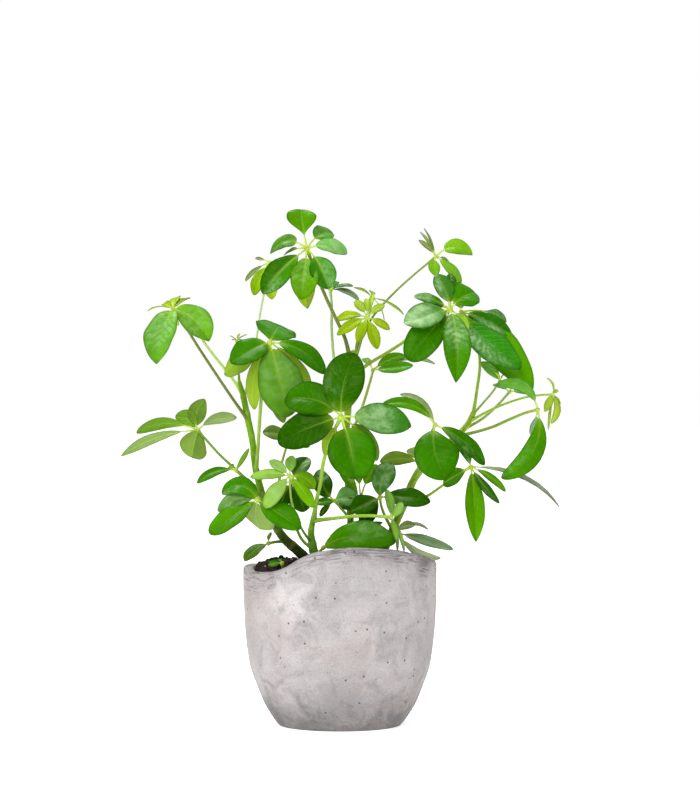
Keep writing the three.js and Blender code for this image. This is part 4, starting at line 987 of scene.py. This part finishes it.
# one leaflet bent from its pattern; also the strand of its stalk and midrib
def makeBlade(hub, crown, leafStalk, entry, tint, paintedSheenLayout, form, pattern, rng):
    x, z, depth, width, *rest = entry
    sway, stalk, roll, arch = rest + [0, leafStalk, 0, leafSettings["arch"]][len(rest):]
    tip = seen(x, z, depth)
    chord = tip - hub
    length = chord.length
    along = chord.normalized()
    up = (crown - along * crown.dot(along)).normalized()
    aside = Vector((chord.z, 0, -chord.x)).normalized()
    middle = (hub + tip) / 2 + up * (2 * arch * length) + aside * (2 * sway)
    face = Matrix.Rotation(math.radians(roll), 3, along) @ up
    start = min(stalk / length, 0.4)

    def ribAt(s):
        return hub * (1 - s) ** 2 + middle * (2 * s * (1 - s)) + tip * s * s

    def axesAt(s):
        tangent = ((middle - hub) * (1 - s) + (tip - middle) * s).normalized()
        side = tangent.cross(face).normalized()
        return tangent, side, side.cross(tangent)

    twist = math.radians(rng.uniform(-1, 1) * leafSettings["twist"])
    widest, baseTaper, tipTaper = [
        form.get(key, rng.uniform(*leafSettings[key])) for key in ("widest", "base", "tip")]
    crease = form.get("crease", 1)
    swelling = math.log(0.5) / math.log(widest)
    lopsided = rng.uniform(-1, 1) * leafSettings["lopsided"]
    phase, beats = rng.uniform(0, math.tau), rng.uniform(*leafSettings["waves"])
    quilt = rng.uniform(0.35, 1) * form.get("quilt", leafSettings["quilt"])
    paintedHalfShade = form.get("paintedHalfShade", rng.uniform(-1, 1) * leafSettings["paintedHalfShade"])
    paleRib = form.get("rib", 0)
    bladeLength = length * (1 - start)
    drift = rng.uniform(-0.03, 0.03)
    tone = linearColour(tint) if isinstance(tint, str) else toneAt(leafSettings["tones"], tint + drift)
    footTone = mixed(tone, linearColour(leafSettings["footTone"]), 0.25)
    under, upon = [linearColour(rib) for rib in leafSettings["midribTones"]]
    blade = pattern.copy()
    blade.data = pattern.data.copy()
    bpy.context.collection.objects.link(blade)
    tones = blade.data.color_attributes["leafTone"].data
    paintedSheens = blade.data.attributes["bloom"].data
    strength, first, last, paintedSheenSide = paintedSheenLayout
    spans = []
    for vertex in blade.data.vertices:
        c = vertex.co.x  # -1 to 1 across the blade
        t = (1 - math.cos(math.pi * (vertex.co.y + 1) / 2)) / 2  # 0 to 1 along it, with closer rows at the ends
        share = max(math.sin(math.pi * min(t, 1) ** swelling), 0) ** (baseTaper + (tipTaper - baseTaper) * t)
        half = width / 2 * share * (1 + lopsided * c)
        tangent, side, normal = axesAt(start + (1 - start) * t)
        turned = twist * (t - 0.3)
        reach = half * c
        rise = half * crease * (leafSettings["creaseRise"] * abs(c) - leafSettings["edgeFall"] * c * c)
        rise += half * leafSettings["wave"] * c * c * math.sin(beats * math.tau * t + phase + (1.3 if c > 0 else 0))
        spot = (ribAt(start + (1 - start) * t) + side * (reach * math.cos(turned) - rise * math.sin(turned))
                + normal * (rise * math.cos(turned) + reach * math.sin(turned)))
        vertex.co = spot * mm
        spans.append((reach, t * bladeLength))
        ribShare = paleRib * math.exp(-(c / 0.13) ** 2) * (1 - smoothStep(0.4, 0.95, t))
        colour = mixed(mixed(footTone, tone, smoothStep(0.0, 0.22, t)), upon, ribShare)
        shade = 1 - leafSettings["edgeShade"] * max(smoothStep(0.78, 1, abs(c)), smoothStep(0.9, 1, t))
        # painted light and shade: the clockwise half lighter and the other darker, as if lit across the fold
        shade *= 1 + paintedHalfShade * (2 * smoothStep(-0.25, 0.25, c) - 1)
        tones[vertex.index].color = (*[channel * shade for channel in colour[:3]], quilt)
        # painted sheen: whitish patches painted in as highlights, from first to last along the blade and on one side
        bloom = strength * smoothStep(first - 0.15, first + 0.15, t) * (1 - smoothStep(last - 0.15, last + 0.15, t))
        bloom *= smoothStep(-0.4, 0.5, paintedSheenSide * c) if paintedSheenSide else 1
        bloom *= 1 - 0.85 * smoothStep(0.7, 1, abs(c))  # it thins towards the edge
        paintedSheens[vertex.index].value = bloom * (1 + 0.5 * noise.noise(spot / 6))
    layer = blade.data.uv_layers["bladeMm"].data
    for loop in blade.data.loops:
        layer[loop.index].uv = spans[loop.vertex_index]
    # the stalk, which goes on as the midrib under the blade and thins towards its tip
    points, radii, colours = [], [], []
    pale, ribTone = linearColour(leafSettings["stalkTone"]), mixed(tone, under, 0.4)
    stalkRadius = leafSettings["stalkRadius"] * min(1, 0.55 + width / 30)
    for k in range(leafSettings["ribSteps"] + 1):
        s = k / leafSettings["ribSteps"] * leafSettings["ribEnd"]
        tangent, side, normal = axesAt(s)
        beyond = smoothStep(start - 0.03, start + 0.08, s)
        radius = stalkRadius * (1 - 0.25 * smoothStep(0, start, s)) * (1 - beyond * 0.35)
        radius *= 1 - 0.65 * max(s - start, 0)
        points.append(ribAt(s) - normal * radius * 0.7 * beyond)
        radii.append(radius)
        colours.append(mixed(pale, ribTone, beyond))
    return blade, (points, radii, colours)


# the petiole, wider where it clasps its stem, and the knob that it ends in
def petioleStrands(plan, lean, hub):
    count = len(plan["petiole"])
    spots = [seen(x, z, depth + lean * k / count) for k, (x, z, depth) in enumerate(plan["petiole"])] + [hub]
    route = smoothRoute(spots, 6)
    slim = plan.get("petioleWidth", 0.8 if plan["age"] > 0.6 else 1)
    foot, head = [linearColour(tone) for tone in plan.get("petioleTones", leafSettings["petioleTones"])]
    radii, colours = [], []
    for k in range(len(route)):
        t = k / (len(route) - 1)
        radii.append(slim * (1.15 + 0.65 * math.exp(-t * 14) - 0.2 * t + 0.35 * smoothStep(0.9, 1, t)))
        colours.append(mixed(foot, head, t ** 1.5))
    onward = (route[-1] - route[-2]).normalized()
    knob = [hub + onward * step for step in (-2, -1, 0, 0.9, 1.5)]
    knobRadii = [slim * radius for radius in (1.1, 1.6, 1.8, 1.5, 0.8)]
    knobTone = mixed(head, linearColour(leafSettings["knobTone"]), 0.5)
    return [(route, radii, colours), (knob, knobRadii, [knobTone] * len(knob))]


def makeLeaf(node, plan, patterns, materials):
    rng = random.Random(node)
    lean = plan.get("lean", 0)
    x, z, depth = plan["hub"]
    hub = seen(x, z, depth + lean)
    crown = Vector(plan["crown"]).normalized()
    tones = plan.get("tones", [plan["age"]])
    tones = tones + tones[-1:] * (len(plan["leaflets"]) - len(tones))
    forms, paintedSheens = plan.get("forms", {}), plan.get("paintedSheens", {})
    strands = petioleStrands(plan, lean, hub)
    blades = []
    for k, (x, z, depth, width, *rest) in enumerate(plan["leaflets"]):
        pattern = next(piece for least, piece in patterns if width >= least)
        form = {**forms.get("all", {}), **forms.get(k, {})}
        blade, strand = makeBlade(hub, crown, plan["stalk"], (x, z, depth + lean, width, *rest), tones[k],
                                  paintedSheens.get(k, leafSettings["noPaintedSheen"]), form, pattern, rng)
        blades.append(blade)
        strands.append(strand)
    leaf = joinPieces(blades, node + "_blades")
    leaf.data.materials.append(materials[0])
    leaf.data.materials.append(materials[1])
    solidify = leaf.modifiers.new("solidify", "SOLIDIFY")
    solidify.thickness = leafSettings["thickness"] * mm
    solidify.offset = 0
    solidify.material_offset = 1
    makeActive(leaf)
    bpy.ops.object.modifier_apply(modifier="solidify")
    tubes = addTubes(node + "_petiole", strands)
    tubes.data.materials.append(materials[2])
    leaf = joinPieces([leaf, tubes], node + "_foliage")
    makeActive(leaf)
    bpy.ops.object.shade_smooth_by_angle(angle=math.radians(50))
    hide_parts(node)
    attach(leaf, "root")


leafMaterials = [makeLeafSkin("waxyLeafTop", True), makeLeafSkin("mattLeafUnderside", False), makePetioleSkin()]
bladePatterns = makeBladePatterns()
for node, plan in leafPlan.items():
    makeLeaf(node, plan, bladePatterns, leafMaterials)
for width, pattern in bladePatterns:
    bpy.data.objects.remove(pattern)
print("leaves made:", len(leafPlan))
